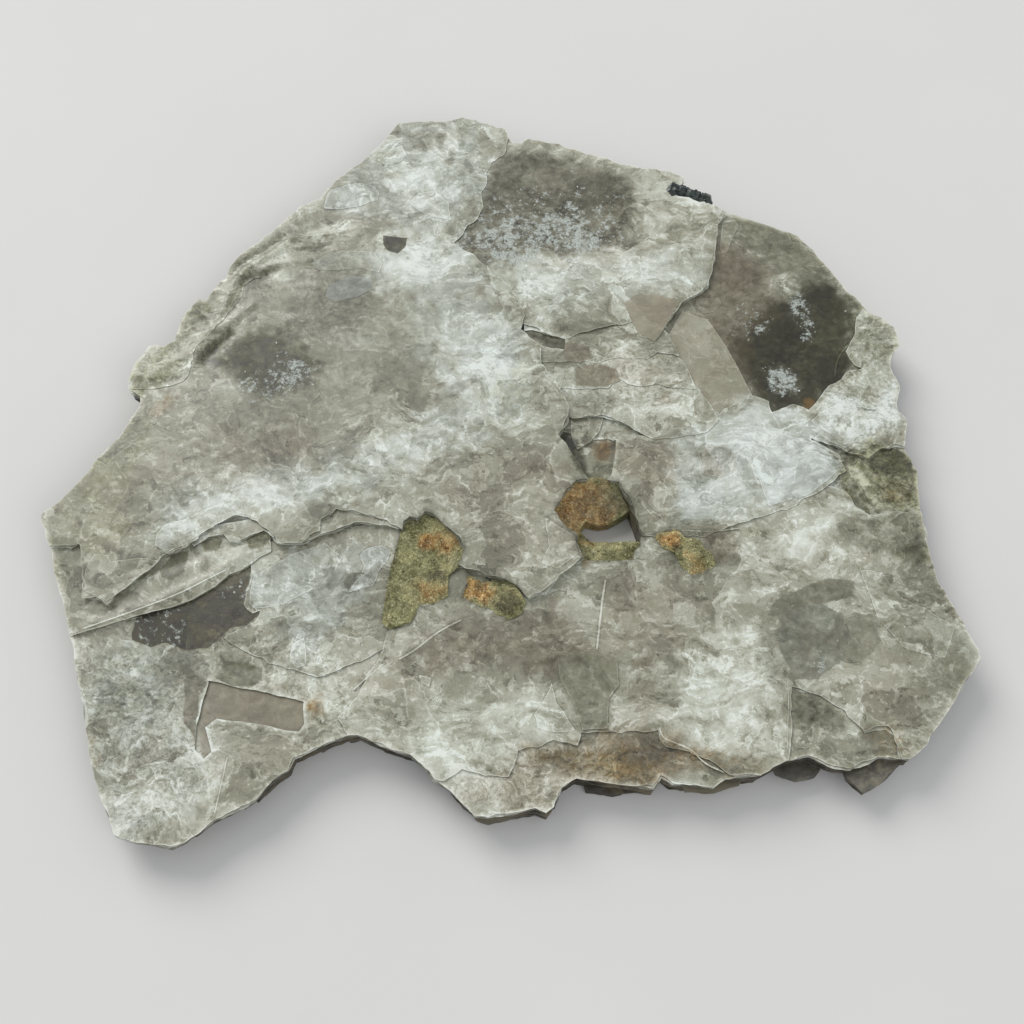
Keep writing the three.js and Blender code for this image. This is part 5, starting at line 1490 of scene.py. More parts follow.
def grit_group():
    """Grains, pits and stain streaks of coarse rock, as masks from 0 to 1."""
    wire, given, out = shader_group(
        "Rock grit",
        [("Place", "Vector", None), ("Grain Size", "Float", 1.0)],
        ["Grain", "Pit", "Stain"],
    )
    scale = wire.math("DIVIDE", 1.0, given["Grain Size"])
    place = wire.moved(given["Place"], wire.drift(given["Place"], 1.6, 4, 0.6), 0.9)
    wire.put(out["Grain"], wire.lots(wire.cells(place, scale))[0])
    gap = wire.cells(place, scale, "DISTANCE_TO_EDGE")["Distance"]
    wire.put(out["Pit"], wire.span(gap, 0.0, 0.16, 1.0, 0.0))
    wire.put(out["Stain"], wire.span(wire.noise(given["Place"], 0.45, 5, 0.6, 0.8), 0.38, 0.64))
    return wire.tree


def new_material(name):
    """A new material: itself, its wiring, its shader and the place on the surface in mm."""
    material = bpy.data.materials.new(name)
    material.use_nodes = True
    tree = material.node_tree
    tree.nodes.clear()
    wire = Wiring(tree)
    shader = wire.node("ShaderNodeBsdfPrincipled")
    wire.node("ShaderNodeOutputMaterial", {"Surface": shader.outputs["BSDF"]})
    spot = wire.node("ShaderNodeTexCoord").outputs["Object"]
    return material, wire, shader, wire.vector("SCALE", spot, 1 / MM)


def ragged_masks(wire, group, place, kinds):
    """The painted masks with broken edges, for kinds given with the scale and the strength of the breaks."""
    masks = {}
    for kind, (scale, strength) in kinds.items():
        made = wire.group(group, Mask=wire.attribute(kind), Place=place, Grain=scale, Break=strength)
        masks[kind] = made["Mask"]
    return masks


def mica_material(groups, colours):
    """The face and the torn sides of the book: silver, clouded, smoky and stained leaves, with painted
    highlights, shade and sky reflection.
    """
    material, wire, shader, place = new_material("Mica leaves")
    mottle = wire.group(groups["mottle"], Place=place, Patch_Size=8.0, Raggedness=1.0)
    masks = ragged_masks(wire, groups["ragged"], place, {
        "cloud": (0.3, 1.3), "cool": (0.2, 1.0), "smoke": (0.7, 1.0), "warm": (0.3, 1.0), "green": (0.6, 1.2),
        "rust": (0.9, 1.3), "speck": (0.5, 1.0), "foil": (0.4, 0.8), "plain": (0.5, 0.6),
    })
    cloud, smoke, speck, plain = (masks[kind] for kind in ("cloud", "smoke", "speck", "plain"))
    # The silver tone of each leaf is partly its own and partly painted sheen.
    even = wire.total(0.47, (wire.attribute("silver"), 0.5, 0.36), (cloud, 0.3, 0.42))
    uneven = wire.total(
        0.0,
        (mottle["Patch"], 0.5, 0.26),
        (mottle["Fine Patch"], 0.5, 0.22),
        (mottle["Billow"], 0.5, 0.17),
        (mottle["Seam"], 0.1, 0.2),
        (mottle["Wisp"], 0.04, 0.14),
        (mottle["Crinkle"], 0.25, wire.math("MULTIPLY_ADD", masks["foil"], 0.62, 0.06)),
        (mottle["Streak"], 0.5, wire.math("MULTIPLY_ADD", cloud, 0.16, 0.1)),
        (mottle["Spot"], 0.05, 0.14),
        (mottle["Fleck"], 0.05, 0.2),
        (mottle["Grain"], 0.5, 0.15),
    )
    uneven = wire.times(uneven, wire.math("MULTIPLY_ADD", plain, -0.7, 1.0))
    # Painted highlight from the rim mark and painted shade from the crease mark.
    light = wire.math("ADD", wire.math("ADD", even, uneven), wire.times(wire.attribute("rim"), 0.34))
    light = wire.math("SUBTRACT", light, wire.times(wire.attribute("crease"), 0.16), clamp=True)
    colour = wire.ramp(light, paint(84, 82, 66), colours.dull, colours.silver, colours.cloud)
    brown = wire.ramp(light, paint(84, 76, 60), colours.warm, paint(204, 198, 182))
    beige = wire.math("MULTIPLY_ADD", masks["warm"], 0.7, wire.times(mottle["Hue"], 0.2))
    colour = wire.blend(beige, colour, brown)
    # A painted reflection of the blue-grey sky, as a steel-grey tint.
    reflected_sky = wire.ramp(light, paint(78, 84, 80), paint(142, 150, 145), paint(208, 215, 212))
    colour = wire.blend(wire.times(masks["cool"], 0.7), colour, reflected_sky)
    olive = wire.ramp(light, paint(48, 48, 26), colours.olive, paint(176, 174, 132))
    colour = wire.blend(wire.times(masks["green"], 0.8), colour, olive)
    dark = wire.ramp(light, paint(12, 11, 0), colours.smoke, paint(64, 61, 26), paint(118, 116, 80))
    bronze = wire.ramp(light, paint(30, 25, 12), paint(72, 64, 42), paint(98, 90, 64), paint(142, 135, 108))
    dark = wire.blend(wire.times(masks["warm"], 0.9), dark, bronze)
    colour = wire.blend(smoke, colour, dark)
    stain = wire.ramp(light, paint(56, 40, 16), colours.rust, paint(170, 148, 98))
    colour = wire.blend(masks["rust"], colour, stain)
    crumbs = wire.math("MULTIPLY_ADD", speck, 0.18, mottle["Frost"])
    frost = wire.times(wire.span(crumbs, 0.61, 0.71), wire.span(speck, 0.02, 0.4))
    crust = wire.ramp(mottle["Grain"], paint(124, 132, 126), paint(208, 215, 207))
    colour = wire.blend(wire.times(frost, 0.8), colour, crust)
    height = wire.upright(place)
    # Darker and browner towards the bottom of the book: partly the brown of the stacked leaves, partly
    # painted shade under the face sheets.
    shaded_low_brown = wire.ramp(mottle["Billow"], paint(18, 14, 9), paint(50, 42, 28), paint(116, 106, 82))
    colour = wire.blend(wire.span(height, 5.0, 5.7, 0.88, 0.0), colour, shaded_low_brown)
    # The steep sides: dark brown strata low down, partly their own colour and partly painted shade.
    strata = wire.span(wire.noise(wire.vector("MULTIPLY", place, (0.25, 0.25, 9.0)), 1.0, 4, 0.7), 0.36, 0.66)
    layers = wire.ramp(strata, paint(18, 14, 9), paint(48, 41, 29), paint(136, 128, 106))
    torn_face = wire.ramp(strata, paint(92, 90, 76), paint(156, 156, 140), paint(208, 210, 198))
    layers = wire.blend(wire.span(height, 5.6, 6.6), layers, torn_face)
    steepness = wire.upright(wire.node("ShaderNodeNewGeometry").outputs["True Normal"])
    side = wire.span(wire.math("ABSOLUTE", steepness), 0.35, 0.75, 1.0, 0.0)
    wire.put(shader.inputs["Base Color"], wire.blend(side, colour, layers))
    wire.put(shader.inputs["Roughness"], wire.total(
        0.46, (smoke, 0.0, -0.06), (cloud, 0.0, 0.06), (masks["green"], 0.0, 0.1),
        (mottle["Patch"], 0.5, 0.14), (frost, 0.0, 0.2),
    ))
    shader.inputs["IOR"].default_value = 1.56
    shader.inputs["Coat Roughness"].default_value = 0.16
    coat = wire.total(0.25, (cloud, 0.0, -0.15), (smoke, 0.0, -0.25), (frost, 0.0, -0.2))
    wire.put(shader.inputs["Coat Weight"], coat)
    relief_share = wire.math("MULTIPLY_ADD", wire.attribute("plain"), -0.6, 1.0)
    wire.bump(shader, wire.times(mottle["Grain"], relief_share), 0.6, 0.015)
    return material


def rock_material(groups, colours):
    """Weathered rock, stained from yellow-green to rust, with dark grains."""
    material, wire, shader, place = new_material("Rusty rock")
    grit = wire.group(groups["grit"], Place=place, Grain_Size=0.9)
    fine = wire.group(groups["grit"], Place=place, Grain_Size=0.35)
    breaks = {"rust": (0.8, 1.0), "smoke": (0.9, 1.0), "cloud": (0.9, 1.0)}
    masks = ragged_masks(wire, groups["ragged"], place, breaks)
    broad = wire.span(wire.noise(place, 0.32, 6, 0.66), 0.36, 0.64)
    colour = wire.ramp(broad, paint(104, 108, 62), colours.rock, paint(186, 182, 128))
    orange = wire.ramp(grit["Stain"], paint(150, 98, 38), paint(218, 156, 74), paint(240, 206, 142))
    colour = wire.blend(masks["rust"], colour, orange)
    colour = wire.blend(wire.times(masks["cloud"], 0.85), colour, paint(192, 186, 156))
    grain = wire.ramp(fine["Grain"], paint(72, 58, 32), paint(150, 140, 92), paint(230, 222, 182))
    colour = wire.blend(0.3, colour, grain)
    colour = wire.blend(wire.times(masks["smoke"], 0.9), colour, paint(46, 36, 26))
    colour = wire.blend(wire.times(fine["Pit"], 0.34), colour, paint(60, 50, 34))
    wire.put(shader.inputs["Base Color"], colour)
    wire.put(shader.inputs["Roughness"], wire.span(fine["Grain"], 0.0, 1.0, 0.55, 0.9))
    height = wire.math("SUBTRACT", grit["Grain"], fine["Pit"])
    wire.bump(shader, wire.math("ADD", height, wire.noise(place, 2.6, 5, 0.65)), 0.8, 0.16)
    return material


def tourmaline_material(groups, colours):
    """Black tourmaline, striated along its length, with a teal glint."""
    material, wire, shader, place = new_material("Black tourmaline")
    turned = wire.mapped(place, math.degrees(-CRYSTAL_TURN[2]), (1.0, 1.0, 1.0))
    lines = wire.noise(wire.vector("MULTIPLY", turned, (0.25, 3.5, 3.5)), 1.0, 4, 0.6)
    grit = wire.group(groups["grit"], Place=place, Grain_Size=1.3)
    colour = wire.blend(wire.span(lines, 0.35, 0.7), colours.tourmaline, paint(52, 66, 62))
    colour = wire.blend(wire.times(grit["Pit"], 0.3), colour, paint(96, 100, 88))
    wire.put(shader.inputs["Base Color"], colour)
    wire.put(shader.inputs["Roughness"], wire.span(lines, 0.3, 0.7, 0.16, 0.34))
    wire.bump(shader, wire.math("ADD", lines, wire.times(grit["Grain"], 0.6)), 0.7, 0.08)
    return material


def chip_material(groups):
    """Small loose flakes that cling to the face."""
    material, wire, shader, place = new_material("Mica flakes")
    mottle = wire.group(groups["mottle"], Place=place, Patch_Size=1.2, Raggedness=0.3)
    colour = wire.blend(mottle["Patch"], paint(140, 142, 132), paint(190, 194, 186))
    wire.put(shader.inputs["Base Color"], colour)
    wire.put(shader.inputs["Roughness"], wire.span(mottle["Fine Patch"], 0.0, 1.0, 0.3, 0.5))
    shader.inputs["Coat Weight"].default_value = 0.3
    return material


def floor_material():
    """The pale floor of the stage."""
    material, wire, shader, place = new_material("Pale floor")
    colour = wire.blend(wire.noise(place, 0.02, 3), paint(206, 205, 201), paint(212, 211, 208))
    wire.put(shader.inputs["Base Color"], colour)
    shader.inputs["Roughness"].default_value = 0.8
    return material


# Stains of the rock, with a painted shadow along one edge, in the same form as those of the face.
ROCK_STAINS_AND_SHADE = [(HIGHEST, [
    # the left patch
    ({"rust": 0.95}, 0.8, [
        (-14.2, -18.4), (-12.8, -17.8), (-11.4, -18.6), (-11.4, -20.4), (-13, -21), (-14.4, -20.2)]),
    ({"rust": 0.75}, 1.2, [(-11, -17.5), (-8.5, -17.5), (-7.5, -19), (-8, -21), (-10.5, -21)]),
    ({"rust": 0.5}, 1.4, [(-14, -27), (-9.5, -27), (-9, -29.5), (-13.5, -30)]),
    ({"smoke": 0.85}, 0.7, [(-13.2, -19), (-12.2, -18.8), (-12, -19.9), (-13, -20.1)]),
    ({"smoke": 0.7}, 0.8, [(-12.3, -24.8), (-9.4, -25), (-9.2, -26.8), (-12, -26.8)]),
    # painted shadow along the straight left edge of the left patch
    ({"smoke": 0.45}, 0.7, [(-17.8, -17), (-17, -17), (-19.6, -33), (-19, -26)]),
    ({"cloud": 0.4}, 1, [(-9, -21.5), (-7, -21.5), (-7.5, -23.5), (-9, -23.5)]),
    # the middle patch
    ({"rust": 0.85}, 1, [(-6, -29.5), (-5.5, -26), (-2, -26.5), (-1, -28), (-2.5, -30.5)]),
    ({"smoke": 0.7}, 0.9, [(-0.5, -28.5), (1.5, -28), (3, -30), (2, -32), (0, -32.5), (-1.5, -31)]),
    # the right patch
    ({"rust": 0.85}, 0.9, [(26, -18.5), (27.5, -17.5), (30, -17.5), (30.5, -19.5), (29, -21), (27, -20)]),
    ({"smoke": 0.7}, 0.6, [(28.8, -19.8), (30, -19.6), (30.2, -20.8), (29.2, -21)]),
    ({"smoke": 0.5}, 0.6, [(31.2, -19), (33.6, -19.4), (35.8, -22.6), (35, -22.6), (33, -20.4)]),
    ({"rust": 0.45}, 1, [(31, -21.5), (33.5, -22.5), (34, -24.5), (32, -25)]),
    # the lining of the hole
    ({"rust": 0.95}, 1.2, [
        (9, -14), (11, -10), (13, -8), (18, -8), (20, -11), (18, -14), (14, -14.5), (12, -17)]),
    ({"cloud": 0.4}, 2, [(10, -16), (12, -10), (16, -8), (20, -9), (22, -12), (18, -13), (13, -15)]),
    ({"rust": 0.4}, 1.2, [(13, -17.5), (18, -19.5), (16, -20), (13, -19.5)]),
    ({"cloud": 0.6}, 1.2, [(17, -8), (20, -9), (21.5, -11.5), (19, -12), (17, -10.5)]),
    ({"cloud": 0.35}, 1.2, [(13, -20), (16.5, -20.5), (16.5, -22), (13, -22)]),
    ({"smoke": 0.15}, 1, [(17, -21), (23, -20.5), (23.5, -22.5), (17, -22.5)]),
])]
ROCK_GRAIN_STEP = 0.24


def rough(x, y):
    """The lumps, knobs and grit of weathered rock, in mm."""
    knobs = 1 - np.abs(ripple(x, y, 1.3, 63))
    return (
        0.42 * ripple(x, y, 3.1, 61)
        + 0.24 * ripple(x, y, 1.5, 62)
        + 0.22 * (knobs - 0.5)
        + 0.1 * ripple(x, y, 0.6, 64)
        + 0.05 * ripple(x, y, 0.33, 65)
    )


def lining_height(x, y):
    """A wall that climbs away from the hole, with a low rim on the near side."""
    foot, head, near_rim = 2.6, 7.0, 6.6
    away = np.hypot((x - 18.6) / 9.6, (y + 15) / 7.4)
    wall = foot + (head - foot) * smooth(0.4, 1.12, away)
    near = smooth(17.4, 19.4, -y)
    return wall + (near_rim - wall) * near + 1.5 * rough(x, y)


def rock_piece(name, node, outline, bottom, height_at, finish, cuts=()):
    """A rock that fills its pocket, with a lumpy painted top."""
    edge = torn(outline, 70, 0.1, 0.24, push=0.3)
    edge = edge[inside_by(edge, outline) < -0.12]
    cuts = [torn(cut, 71, 0.18, 0.24) for cut in cuts]
    low, high = np.min(edge, 0), np.max(edge, 0)
    fill = scatter(low, high, ROCK_GRAIN_STEP, 72)
    roots = scatter(low, high, 1.6, 73)
    for shape, keep in [(edge, 1), *((cut, -1) for cut in cuts)]:
        fill = fill[keep * inside_by(fill, shape) > 0.12]
        roots = roots[keep * inside_by(roots, shape) > 0.6]
    plan = Plan([edge], cuts, roots, fill)
    mesh = plan.solid(name, np.full(len(plan.low), bottom), height_at(*plan.top.T))
    move(mesh, in_frame)
    places = read(mesh.vertices, "co", 3)
    mark_points(mesh, **painted(plan_of(places), np.zeros(len(places)), ROCK_STAINS_AND_SHADE))
    mark_points(mesh, loose=smooth(0.5, 0.9, read(mesh.vertices, "normal", 3)[:, 2]))
    mesh.materials.append(finish)
    soften(mesh, math.radians(50))
    return shown(mesh, name, "rusty_rock", node)


def bit_mesh(name, radius, thickness, corners, seed):
    """A small closed bit: an uneven flat flake, or a stubby grain when it is thick."""
    body = bmesh.new()
    turn = [math.tau * (k + 0.5 * float(hashed(k, 1, seed))) / corners for k in range(corners)]
    reach = [radius * (0.6 + 0.4 * float(hashed(k, 2, seed))) for k in range(corners)]
    rings = []
    for height, share in ((-0.5, 0.9), (0.5, 1.0)):
        rings.append([
            body.verts.new((r * share * math.cos(a), r * share * math.sin(a), height * thickness))
            for a, r in zip(turn, reach)
        ])
    body.faces.new(rings[1])
    body.faces.new(rings[0][::-1])
    for k in range(corners):
        after = (k + 1) % corners
        body.faces.new((rings[0][k], rings[0][after], rings[1][after], rings[1][k]))
    mesh = bpy.data.meshes.new(name)
    body.to_mesh(mesh)
    body.free()
    return mesh


def scattered(name, base, bit, density, smallest, largest, tilt, seed, finish):
    """Scatters a bit over a mesh, and returns the bits alone."""
    holder = bpy.data.objects.new(name + "_bit", bit)
    bpy.context.scene.collection.objects.link(holder)
    mesh = grown(base, scattering_tree(), {
        "Bit": holder, "Density": density, "Smallest": smallest, "Largest": largest,
        "Tilt": tilt, "Seed": seed, "Finish": finish,
    })
    bpy.data.objects.remove(holder)
    move(mesh, in_book)
    return mesh


def tourmaline_mesh(radius, length, finish):
    """A striated nine-sided prism, cracked across, with one end broken and a low point on the other."""
    around, steps = 72, 60
    x = np.linspace(-length / 2, length / 2, steps)
    angle = np.linspace(0, math.tau, around, endpoint=False)
    flat = math.pi / 9
    facet = np.cos(flat) / np.cos((angle + 0.3) % (2 * flat) - flat)
    grooves = 1 - 0.035 * np.abs(np.sin(9 * angle + 1.2 * np.sin(4 * angle))) - 0.02 * hashed(
        np.arange(around), 0, 81
    )
    rings = []
    for k, along in enumerate(x):
        end = smooth(0, 0.5, along + length / 2) * 0.16 + 0.84
        point = 1 - 0.6 * smooth(length / 2 - 1.0, length / 2, along)
        step = 1 - 0.05 * (hashed(int(k / 7), 1, 82) > 0.55) - 0.02 * hashed(k, 2, 83)
        crack = 1 - 0.1 * (float(hashed(k, 5, 84)) > 0.93)
        knobs = 1 + 0.12 * ripple(3.4 * angle, 0 * angle + 1.1 * along, 1.0, 85)
        r = radius * end * point * step * crack * facet * grooves * knobs
        skew = 0.25 * radius * (k == 0) * np.cos(angle)
        rings.append(np.column_stack([along + skew + 0 * angle, r * np.cos(angle), r * np.sin(angle)]))
    places = np.concatenate([*rings, [[x[0] + 0.1, 0, 0]], [[x[-1] + 0.05, 0, 0]]])
    faces = []
    sides = [(a, (a + 1) % around) for a in range(around)]
    last_ring = (steps - 1) * around
    for low in range(0, last_ring, around):
        high = low + around
        faces += [(low + a, high + a, high + b, low + b) for a, b in sides]
    first, last = steps * around, steps * around + 1
    for a, b in sides:
        faces += [(first, a, b), (last, last_ring + b, last_ring + a)]
    places = places @ np.array(Euler(CRYSTAL_TURN).to_matrix()).T + np.array(CRYSTAL_CENTRE)
    places[:, :2] += SHIFT
    mesh = bpy.data.meshes.new("tourmaline")
    mesh.from_pydata((places * MM).tolist(), [], faces)
    body = bmesh.new()
    body.from_mesh(mesh)
    bmesh.ops.recalc_face_normals(body, faces=body.faces)
    body.to_mesh(mesh)
    body.free()
    mesh.materials.append(finish)
    soften(mesh, math.radians(24))
    return mesh


class MicaSizes(bpy.types.PropertyGroup):
    """Sizes of the leaves."""

    spacing: bpy.props.FloatProperty(
        name="Surface spacing", description="Distance between the points of the face",
        default=0.6 * MM, min=0.3 * MM, max=4 * MM, unit="LENGTH",
    )
    shade_angle: bpy.props.FloatProperty(
        name="Crisp edge angle", description="Edges sharper than this stay crisp",
        default=math.radians(32), subtype="ANGLE",
    )
    flake_density: bpy.props.FloatProperty(
        name="Loose flakes", description="Loose flakes in each square metre of the frosty places",
        default=2.2e5, min=0,
    )
    smallest_flake: bpy.props.FloatProperty(
        name="Smallest flake", description="Size of the smallest loose flake", default=0.15, min=0.05,
    )
    largest_flake: bpy.props.FloatProperty(
        name="Largest flake", description="Size of the largest loose flake", default=0.5, min=0.1,
    )


class RockSizes(bpy.types.PropertyGroup):
    """Sizes of the rock that fills the pockets."""

    left_top: bpy.props.FloatProperty(
        name="Left patch top", description="Height of the left rock patch",
        default=7.1 * MM, unit="LENGTH",
    )
    middle_top: bpy.props.FloatProperty(
        name="Middle patch top", description="Height of the middle rock patch",
        default=6.95 * MM, unit="LENGTH",
    )
    right_top: bpy.props.FloatProperty(
        name="Right patch top", description="Height of the right rock patch",
        default=7.05 * MM, unit="LENGTH",
    )
    grain_density: bpy.props.FloatProperty(
        name="Grains", description="Loose grains in each square metre of rock", default=1.1e6, min=0,
    )


class TourmalineSizes(bpy.types.PropertyGroup):
    """Sizes of the black crystal."""

    radius: bpy.props.FloatProperty(
        name="Radius", description="Radius of the crystal", default=1.8 * MM, unit="LENGTH",
    )
    length: bpy.props.FloatProperty(
        name="Length", description="Length of the crystal", default=8.9 * MM, unit="LENGTH",
    )
    splinter_density: bpy.props.FloatProperty(
        name="Splinters", description="Splinters in each square metre of the crystal", default=4.5e5, min=0,
    )


def colour_property(label, text, colour):
    """A colour that a user can change."""
    return bpy.props.FloatVectorProperty(
        name=label, description=text, default=colour, size=4, min=0, max=1, subtype="COLOR",
    )


class MineralColours(bpy.types.PropertyGroup):
    """Colours of the mica and of what it carries."""

    dull: colour_property("Dull leaf", "Colour of the duller leaves", paint(138, 138, 118))
    silver: colour_property("Silver leaf", "Colour of the brighter leaves", paint(184, 187, 172))
    cloud: colour_property("Cloud", "Colour of the cloudy leaves", paint(218, 224, 215))
    # This colour also serves painted shade in fold hollows, round the rock pockets and along a rock edge.
    smoke: colour_property("Smoky window", "Colour of the smoky clear mica", paint(38, 36, 8))
    warm: colour_property("Brown window", "Colour of the brownish clear mica", paint(144, 134, 112))
    olive: colour_property("Olive stain", "Colour of the olive stains", paint(112, 112, 74))
    rust: colour_property("Rust", "Colour of the iron stains", paint(124, 96, 44))
    rock: colour_property("Rock", "Colour of the fresh rock", paint(150, 152, 106))
    tourmaline: colour_property("Tourmaline", "Colour of the black crystal", paint(18, 26, 26))


class StageSettings(bpy.types.PropertyGroup):
    """Lights of the stage."""

    window_power: bpy.props.FloatProperty(
        name="Window light", description="Power of the large soft light", default=38.0, min=0, unit="POWER",
    )
    sky: bpy.props.FloatProperty(
        name="Sky light", description="Strength of the even light from all sides", default=0.62, min=0,
    )


FINISHES = {}


def finish_of(kind):
    """The material of a kind, made the first time it is asked for."""
    if not FINISHES:
        groups = {"mottle": mottle_group(), "ragged": ragged_group(), "grit": grit_group()}
        colours = bpy.context.scene.mineral_colours
        FINISHES["mica"] = mica_material(groups, colours)
        FINISHES["rock"] = rock_material(groups, colours)
        FINISHES["tourmaline"] = tourmaline_material(groups, colours)
        FINISHES["chip"] = chip_material(groups)
        FINISHES["floor"] = floor_material()
    return FINISHES[kind]


def face_piece(name, upper):
    """One of the two stacks of face sheets."""
    sizes = bpy.context.scene.mica_sizes
    book = Book(sizes.spacing / MM)
    if not upper:
        book.covers += [sheet[1] for sheet in SHEETS[:UPPER_SHEETS]]
    sheets = SHEETS[:UPPER_SHEETS] if upper else SHEETS[UPPER_SHEETS:]
    book.add_films(sheets)
    book.add_sheets(sheets)
    for window_name, window, top, tone in FLOORS:
        if upper == (window is SLIT):
            wide = torn(window, 3, 0.0, 1.5, push=1.0)
            above = [
                sheet[1] for sheet in SHEETS
                if sheet[2] > top and window not in WINDOWS_OF.get(sheet[0], ())
            ]
            book.add(window_name, wide, top, top - 1.0, 0.1, tone, POCKETS, covers=above)
    mesh = book.joined(finish_of("mica"))
    return finished_book(mesh, name, sizes.shade_angle)


class MICA_OT_upper_sheets(bpy.types.Operator):
    """Builds the crown, the far sheet and the broken steps of the face"""

    bl_idname = "mica.upper_sheets"
    bl_label = "Upper sheets"

    def execute(self, context):
        face_piece("mica_upper_sheets", True)
        return {"FINISHED"}


class MICA_OT_lower_sheets(bpy.types.Operator):
    """Builds the lower sheets of the face and the floors of its windows"""

    bl_idname = "mica.lower_sheets"
    bl_label = "Lower sheets"

    def execute(self, context):
        face_piece("mica_lower_sheets", False)
        return {"FINISHED"}


class MICA_OT_body_leaves(bpy.types.Operator):
    """Stacks the leaves of the book under its face"""

    bl_idname = "mica.body_leaves"
    bl_label = "Body leaves"

    def execute(self, context):
        mesh = body_leaves(finish_of("mica"))
        finished_book(mesh, "mica_body_leaves", context.scene.mica_sizes.shade_angle)
        return {"FINISHED"}


class MICA_OT_rock(bpy.types.Operator):
    """Fills the pockets and lines the hole with rusty rock"""

    bl_idname = "mica.rock"
    bl_label = "Rock"

    def execute(self, context):
        sizes = context.scene.rock_sizes
        finish = finish_of("rock")
        pieces = [rock_piece(
            "rock_lining_crust", "rock_hole_lining", HOLE_RECESS, 0.3, lining_height, finish, [HOLE],
        )]
        for side, outline, top in (
            ("left", LEFT_PATCH, sizes.left_top),
            ("middle", MIDDLE_PATCH, sizes.middle_top),
            ("right", RIGHT_PATCH, sizes.right_top),
        ):
            pieces.append(rock_piece(
                f"rock_{side}_crust", f"rock_patch_{side}", outline, ROCK_FLOOR,
                lambda x, y, top=top: top / MM + rough(x, y), finish,
            ))
        for k, piece in enumerate(pieces):
            grains = scattered(
                piece.name + "_grains", piece.data.copy(), bit_mesh("grain", 0.3 * MM, 0.4 * MM, 6, 5 + k),
                sizes.grain_density, 0.35, 1.0, 1.2, 11 + k, finish,
            )
            shown(grains, piece.name + "_grains", "rusty_rock")
        return {"FINISHED"}


class MICA_OT_tourmaline(bpy.types.Operator):
    """Sets the black tourmaline in the far edge"""

    bl_idname = "mica.tourmaline"
    bl_label = "Tourmaline"

    def execute(self, context):
        sizes = context.scene.tourmaline_sizes
        mesh = tourmaline_mesh(sizes.radius / MM, sizes.length / MM, finish_of("tourmaline"))
        shown(mesh, "tourmaline_prism", "tourmaline", "tourmaline_crystal")
        base = mesh.copy()
        mark_points(base, loose=np.ones(len(base.vertices)))
        splinters = scattered(
            "tourmaline_splinters", base, bit_mesh("splinter", 0.6 * MM, 0.7 * MM, 5, 9),
            sizes.splinter_density, 0.4, 1.2, 1.0, 41, finish_of("tourmaline"),
        )
        shown(splinters, "tourmaline_splinters", "tourmaline")
        return {"FINISHED"}


class MICA_OT_flakes(bpy.types.Operator):
    """Strews small loose flakes over the frosty places of the face"""

    bl_idname = "mica.flakes"
    bl_label = "Loose flakes"

    def execute(self, context):
        sizes = context.scene.mica_sizes
        for k, name in enumerate(("mica_upper_sheets", "mica_lower_sheets")):
            base = bpy.data.objects[name].data.copy()
            frost = read(base.attributes["speck"].data, "value")
            level = smooth(0.9, 0.97, read(base.vertices, "normal", 3)[:, 2])
            mark_points(base, loose=(frost**1.5 + 0.012) * level)
            bits = scattered(
                name + "_flakes", base, bit_mesh("flake", 0.5 * MM, 0.05 * MM, 7, 21),
                sizes.flake_density, sizes.smallest_flake, sizes.largest_flake, 0.16, 31 + k,
                finish_of("chip"),
            )
            shown(bits, name + "_flakes", "mica")
        return {"FINISHED"}


# The size of the lights and the half width of the floor, in metres, and where the camera stands.
LIGHT_SIZE = 1.6
FLOOR_REACH = 1.5
CAMERA_PLACE = (1.77 * MM, -115.37 * MM, 224.51 * MM)
CAMERA_TILT = math.radians(25)
SENSOR_WIDTH = 36
# The distance of the picture plane and its width, both in pixels.
PICTURE_DISTANCE = 1400
PICTURE_WIDTH = 1024


def soft_light(name, place, power, colour):
    """A large round light that points at the middle of the scene."""
    light = bpy.data.lights.new(name, "AREA")
    light.shape = "DISK"
    light.size = LIGHT_SIZE
    light.energy = power
    light.color = colour
    holder = bpy.data.objects.new(name, light)
    holder.location = place
    holder.rotation_euler = (-Vector(place)).to_track_quat("-Z", "Y").to_euler()
    bpy.context.scene.collection.objects.link(holder)


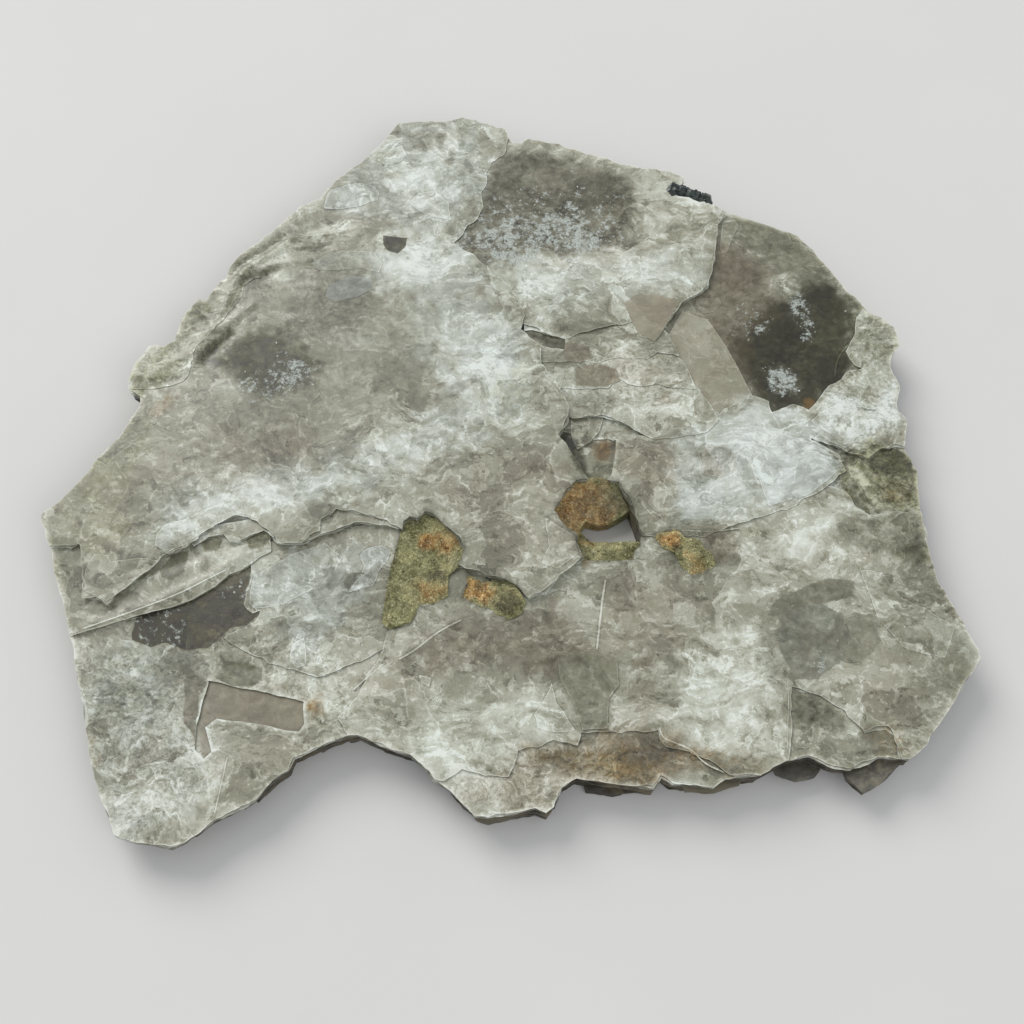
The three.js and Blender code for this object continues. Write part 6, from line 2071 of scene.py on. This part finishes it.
class MICA_OT_stage(bpy.types.Operator):
    """Sets up the pale floor, the soft lights and the camera"""

    bl_idname = "mica.stage"
    bl_label = "Stage"

    def execute(self, context):
        settings = context.scene.mica_stage
        body = bmesh.new()
        bmesh.ops.create_grid(body, x_segments=12, y_segments=12, size=FLOOR_REACH)
        mesh = bpy.data.meshes.new("floor")
        body.to_mesh(mesh)
        body.free()
        mesh.materials.append(finish_of("floor"))
        floor = bpy.data.objects.new("floor", mesh)
        context.scene.collection.objects.link(floor)
        power = settings.window_power
        soft_light("window", (-1.1, 1.5, 1.5), power, (1.0, 0.99, 0.97))
        soft_light("fill", (1.2, -1.3, 1.7), 0.3 * power, (0.98, 0.99, 1.0))
        world = bpy.data.worlds.new("soft sky")
        world.use_nodes = True
        backdrop = world.node_tree.nodes["Background"]
        backdrop.inputs["Color"].default_value = (0.93, 0.96, 1.0, 1.0)
        backdrop.inputs["Strength"].default_value = settings.sky
        context.scene.world = world
        context.scene.view_settings.view_transform = "Standard"
        camera = bpy.data.cameras.new("camera")
        camera.sensor_width = SENSOR_WIDTH
        camera.lens = SENSOR_WIDTH * PICTURE_DISTANCE / PICTURE_WIDTH
        camera.clip_start = 0.01
        holder = bpy.data.objects.new("camera", camera)
        holder.location = CAMERA_PLACE
        holder.rotation_euler = (CAMERA_TILT, 0, 0)
        context.scene.collection.objects.link(holder)
        context.scene.camera = holder
        return {"FINISHED"}


class MICA_PT_panel(bpy.types.Panel):
    """Lists the pieces of the specimen and their settings"""

    bl_idname = "MICA_PT_panel"
    bl_label = "Mica Specimen"
    bl_space_type = "VIEW_3D"
    bl_region_type = "UI"
    bl_category = "Mica"

    def draw(self, context):
        layout = self.layout
        for operator in OPERATORS:
            layout.operator(operator.bl_idname)
        for group_name, group in SETTINGS:
            box = layout.box()
            for label in group.__annotations__:
                box.prop(getattr(context.scene, group_name), label)


OPERATORS = (
    MICA_OT_upper_sheets, MICA_OT_lower_sheets, MICA_OT_body_leaves, MICA_OT_rock,
    MICA_OT_tourmaline, MICA_OT_flakes, MICA_OT_stage,
)
SETTINGS = (
    ("mica_sizes", MicaSizes),
    ("rock_sizes", RockSizes),
    ("tourmaline_sizes", TourmalineSizes),
    ("mineral_colours", MineralColours),
    ("mica_stage", StageSettings),
)


def register():
    for name, group in SETTINGS:
        bpy.utils.register_class(group)
        setattr(bpy.types.Scene, name, bpy.props.PointerProperty(type=group))
    for kind in (*OPERATORS, MICA_PT_panel):
        bpy.utils.register_class(kind)


def unregister():
    for kind in (MICA_PT_panel, *reversed(OPERATORS)):
        bpy.utils.unregister_class(kind)
    for name, group in reversed(SETTINGS):
        delattr(bpy.types.Scene, name)
        bpy.utils.unregister_class(group)


def main():
    register()
    bpy.ops.mica.upper_sheets()
    bpy.ops.mica.lower_sheets()
    bpy.ops.mica.body_leaves()
    bpy.ops.mica.rock()
    bpy.ops.mica.tourmaline()
    bpy.ops.mica.flakes()
    bpy.ops.mica.stage()


if __name__ == "__main__":
    main()
